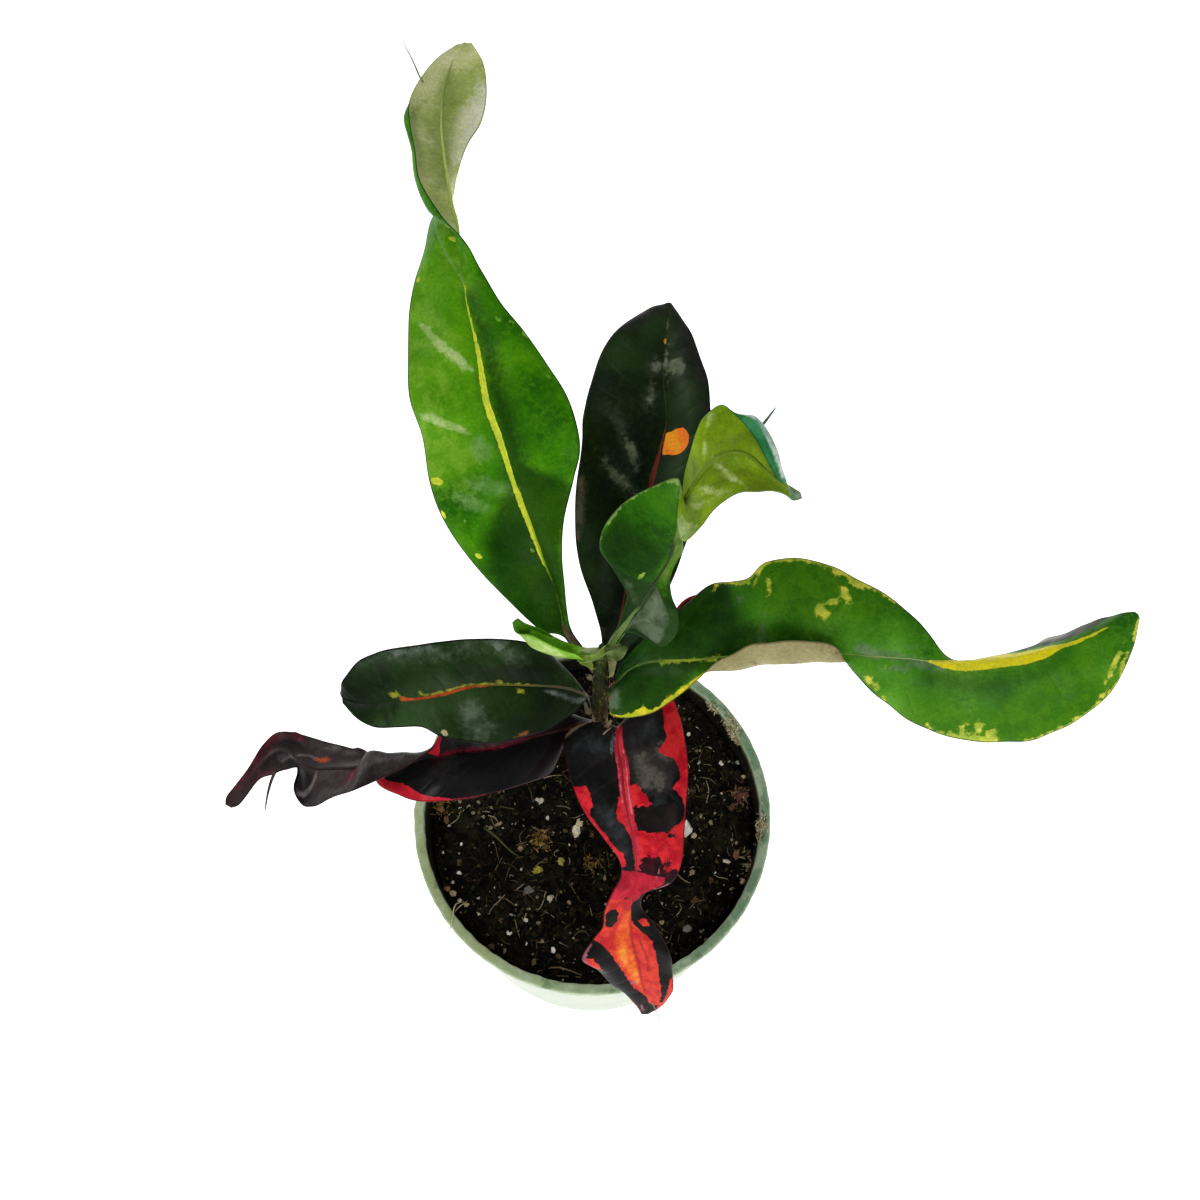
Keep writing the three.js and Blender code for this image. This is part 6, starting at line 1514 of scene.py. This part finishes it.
def on_soil(places, lift):
    """Places (x, y) in mm set on the soil, lift above its surface."""
    places = np.array(places, float)
    return np.column_stack([places, fine_soil(places[:, 0], places[:, 1]) + lift])


def make_crumbs():
    """Peat crumbs strewn evenly over the soil, most near black, some brown or olive."""
    draw = np.random.default_rng(51)
    radius = (SOIL_EDGE_R - 0.8) * np.sqrt(draw.uniform(0, 1, CRUMBS))
    angle = draw.uniform(0, 2 * math.pi, CRUMBS)
    sizes = 0.3 + 0.75 * draw.uniform(0, 1, CRUMBS) ** 3
    places = on_soil(np.column_stack([radius * np.cos(angle), radius * np.sin(angle)]), 0)
    places[:, 2] += sizes * 0.25
    tones = np.array([srgb(*tone)[:3] for tone in CRUMB_TONES])
    pick = draw.choice(len(tones), CRUMBS, p=CRUMB_SHARES)
    tints = tones[pick] * draw.uniform(0.6, 1.3, (CRUMBS, 1))
    return scatter("peat_crumbs", places, sizes, tints, (3, 6), 52, tinted_skin("peat_crumb", 0.95, 0.12))


def make_flecks(skin):
    """Fine pale slivers strewn evenly over the soil."""
    draw = np.random.default_rng(55)
    radius = (SOIL_EDGE_R - 1) * np.sqrt(draw.uniform(0, 1, FLECKS))
    angle = draw.uniform(0, 2 * math.pi, FLECKS)
    sizes = 0.12 + 0.3 * draw.uniform(0, 1, FLECKS) ** 2
    places = on_soil(np.column_stack([radius * np.cos(angle), radius * np.sin(angle)]), 0.35)
    tones = np.array([srgb(*tone)[:3] for tone in FLECK_TONES])
    tints = tones[draw.integers(0, len(tones), FLECKS)] * draw.uniform(0.4, 1, (FLECKS, 1))
    return scatter("pale_flecks", places, sizes, tints, (2, 5), 56, skin)


def make_bits(name, bits, seed, skin, flat=0.7):
    """Single grains set one by one, each (x, y, radius, tone)."""
    sizes = np.array([bit[2] for bit in bits], float)
    places = on_soil([bit[:2] for bit in bits], 0)
    places[:, 2] += sizes * 0.3
    tints = np.array([srgb(*bit[3])[:3] for bit in bits])
    return scatter(name, places, sizes, tints, (4, 7), seed, skin, flat)


def make_fibres(name, paths, radii, tones, skin, slot):
    """Root hairs and straws: thin tubes of five sides along rounded paths, in one mesh."""
    points, faces, tints, start = [], [], [], 0
    for path, radius, tone in zip(paths, radii, tones):
        path = smooth_rows(np.array(path, float)[:, None], 0.8)[:, 0]
        taper = 1 - 0.6 * np.abs(np.linspace(-1, 1, len(path))) ** 3
        ring, sides = tube(path, radius * taper, 5)
        points.append(ring)
        faces += [tuple(k + start for k in face) for face in sides]
        tints.append(np.tile(srgb(*tone), (len(ring), 1)))
        start += len(ring)
    return piece(name, np.concatenate(points), faces, [skin], layers={"tint": np.concatenate(tints)})


def stray_fibres():
    """Paths of loose root hairs over the soil, each wandering by a few degrees a step."""
    draw = np.random.default_rng(61)
    paths = []
    for _ in range(STRAY_FIBRES):
        radius, angle, heading = 44 * math.sqrt(draw.uniform()), *draw.uniform(0, 2 * math.pi, 2)
        place = np.array([radius * math.cos(angle), radius * math.sin(angle)])
        length, bend, path = 1.5 + 6 * draw.uniform() ** 2, draw.normal(0, 0.25), []
        for step in range(6):
            lift = 0.35 + 0.5 * math.sin(math.pi * step / 5) * draw.uniform(0.2, 1)
            if np.hypot(*place) < 46.5:
                path.append(on_soil([place], lift)[0])
            heading += bend + draw.normal(0, 0.2)
            place = place + length / 5 * np.array([math.cos(heading), math.sin(heading)])
        if len(path) > 2:
            paths.append(path)
    tones = draw.choice(len(FIBRE_TONES), len(paths))
    return paths, draw.uniform(0.07, 0.18, len(paths)), [FIBRE_TONES[k] for k in tones]


def make_tuft(name, centre, spread, count, length, tones, seed, skin):
    """A tuft: short bent hairs in all headings. Their feet lie on the soil, or, for a tuft set
    higher, cling to the pot's inner wall and to the top of its rim."""
    draw = np.random.default_rng(seed)
    feet = np.array(centre) + draw.normal(0, 1, (count, 3)) * np.array(spread) / 2
    out = np.hypot(feet[:, 0], feet[:, 1])
    if centre[2] > SOIL_LEVEL:
        on_top = out > RIM_INNER_R + 0.6
        hold = np.where(on_top, np.minimum(out, RIM_OUTER_R - 1), RIM_INNER_R - draw.uniform(0.05, 0.4, count))
        feet[:, :2] *= (hold / out)[:, None]
        feet[:, 2] = np.where(on_top, POT_HEIGHT, np.minimum(feet[:, 2], POT_HEIGHT - 0.8))
    else:
        feet[:, 2] = fine_soil(feet[:, 0], feet[:, 1]) + draw.uniform(-0.1, 0.4, count)
    heading, rise = draw.uniform(0, 2 * math.pi, count), draw.uniform(0.1, 0.9, count)
    reach = draw.uniform(0.4, 1, count)[:, None] * length
    ahead = np.column_stack([np.cos(heading), np.sin(heading), 0 * heading])
    outward = feet * [1, 1, 0] / out[:, None]
    ahead = ahead - np.maximum(0, (ahead * outward).sum(1) * (centre[2] > SOIL_LEVEL))[:, None] * 1.6 * outward
    bend = draw.normal(0, 0.2, (count, 3))
    lift = rise[:, None] * [0, 0, 1]
    paths = np.stack([feet, feet + (ahead * 0.5 + bend + lift * 0.5) * reach, feet + (ahead + lift * 0.35) * reach], 1)
    picks = [tones[k] for k in draw.choice(len(tones), count)]
    return make_fibres(name, paths, draw.uniform(0.09, 0.19, count), picks, skin, "soil")


# Put together

for leaf_name, leaf_rows in LEAVES.items():
    make_leaf(leaf_name, leaf_rows, LOOKS[leaf_name])
make_stem()
make_pot()
make_soil()
make_crumbs()

stone = tinted_skin("perlite_stone", 0.85, 0.3)
make_bits("perlite_grains", PERLITE, 53, stone)
make_bits("bark_chips", BARK_CHIPS, 54, stone, 0.4)
make_flecks(stone)
fibre = tinted_skin("dry_fibre", 0.8, 0.2)
make_fibres("loose_fibres", *stray_fibres(), fibre, "soil")
root_paths = [on_soil(np.array(path)[:, :2], np.array(path)[:, 2]) for path, _, _ in ROOTS]
make_fibres("long_roots", root_paths, [r for _, r, _ in ROOTS], [t for _, _, t in ROOTS], fibre, "soil")
make_fibres("rim_straws", *zip(*RIM_STRAWS), fibre, "soil")
for tuft_name, tuft in TUFTS.items():
    make_tuft(tuft_name, *tuft, fibre)

for tail_name, (tail_path, tail_r, tail_tones) in BRISTLES.items():
    make_bristle(tail_name, tail_path, tail_r, plain_skin(tail_name, tail_tones, 300, 0.5))
for scale_name, (scale_path, scale_halves, scale_tones, scale_slot, scale_up, scale_hollow) in CROWN.items():
    scale_skin = plain_skin(scale_name, scale_tones, 220, 0.4, 0.2)
    make_scale(scale_name, scale_path, scale_halves, scale_skin, scale_up, scale_hollow)


# Floor, light and camera

def make_floor():
    """A plain pale floor, level with the pot's underside, with a faint light of its own that
    keeps it white under the plant."""
    half = FLOOR_HALF
    mesh = bpy.data.meshes.new("floor")
    mesh.from_pydata([(-half, -half, 0), (half, -half, 0), (half, half, 0), (-half, half, 0)], [], [(0, 1, 2, 3)])
    floor = bpy.data.objects.new("floor", mesh)
    bpy.context.scene.collection.objects.link(floor)
    paper = Finish("pale_floor", Roughness=0.9, Specular_IOR_Level=0.0)
    paper.set(Base_Color=(0.92, 0.92, 0.92, 1.0), Emission_Color=(1.0, 1.0, 1.0, 1.0), Emission_Strength=FLOOR_GLOW)
    mesh.materials.append(paper.material)


def make_lamp(name, place, aim, size, power):
    """A square soft box that faces its aim."""
    lamp = bpy.data.lights.new(name, "AREA")
    lamp.size, lamp.energy = size, power
    box = bpy.data.objects.new(name, lamp)
    box.location = place
    box.rotation_euler = (Vector(aim) - Vector(place)).to_track_quat("-Z", "Y").to_euler()
    bpy.context.scene.collection.objects.link(box)


make_floor()
for lamp_name, lamp_place, lamp_size, lamp_power in LAMPS:
    make_lamp(lamp_name, lamp_place, LAMP_AIM, lamp_size, lamp_power)

world = bpy.data.worlds.new("studio_air")
world.use_nodes = True
world.node_tree.nodes["Background"].inputs["Color"].default_value = (1, 1, 1, 1)
world.node_tree.nodes["Background"].inputs["Strength"].default_value = AIR_LIGHT
bpy.context.scene.world = world
bpy.context.scene.view_settings.view_transform = "Standard"

camera_data = bpy.data.cameras.new("camera")
camera_data.lens = CAMERA_LENS
camera_data.sensor_width = 36
camera_data.clip_start = 0.01
camera = bpy.data.objects.new("camera", camera_data)
camera.location = np.array(CAMERA_PLACE) * MM
camera.rotation_euler = (math.radians(CAMERA_TILT), 0, 0)
bpy.context.scene.collection.objects.link(camera)
bpy.context.scene.camera = camera

bpy.context.view_layer.update()
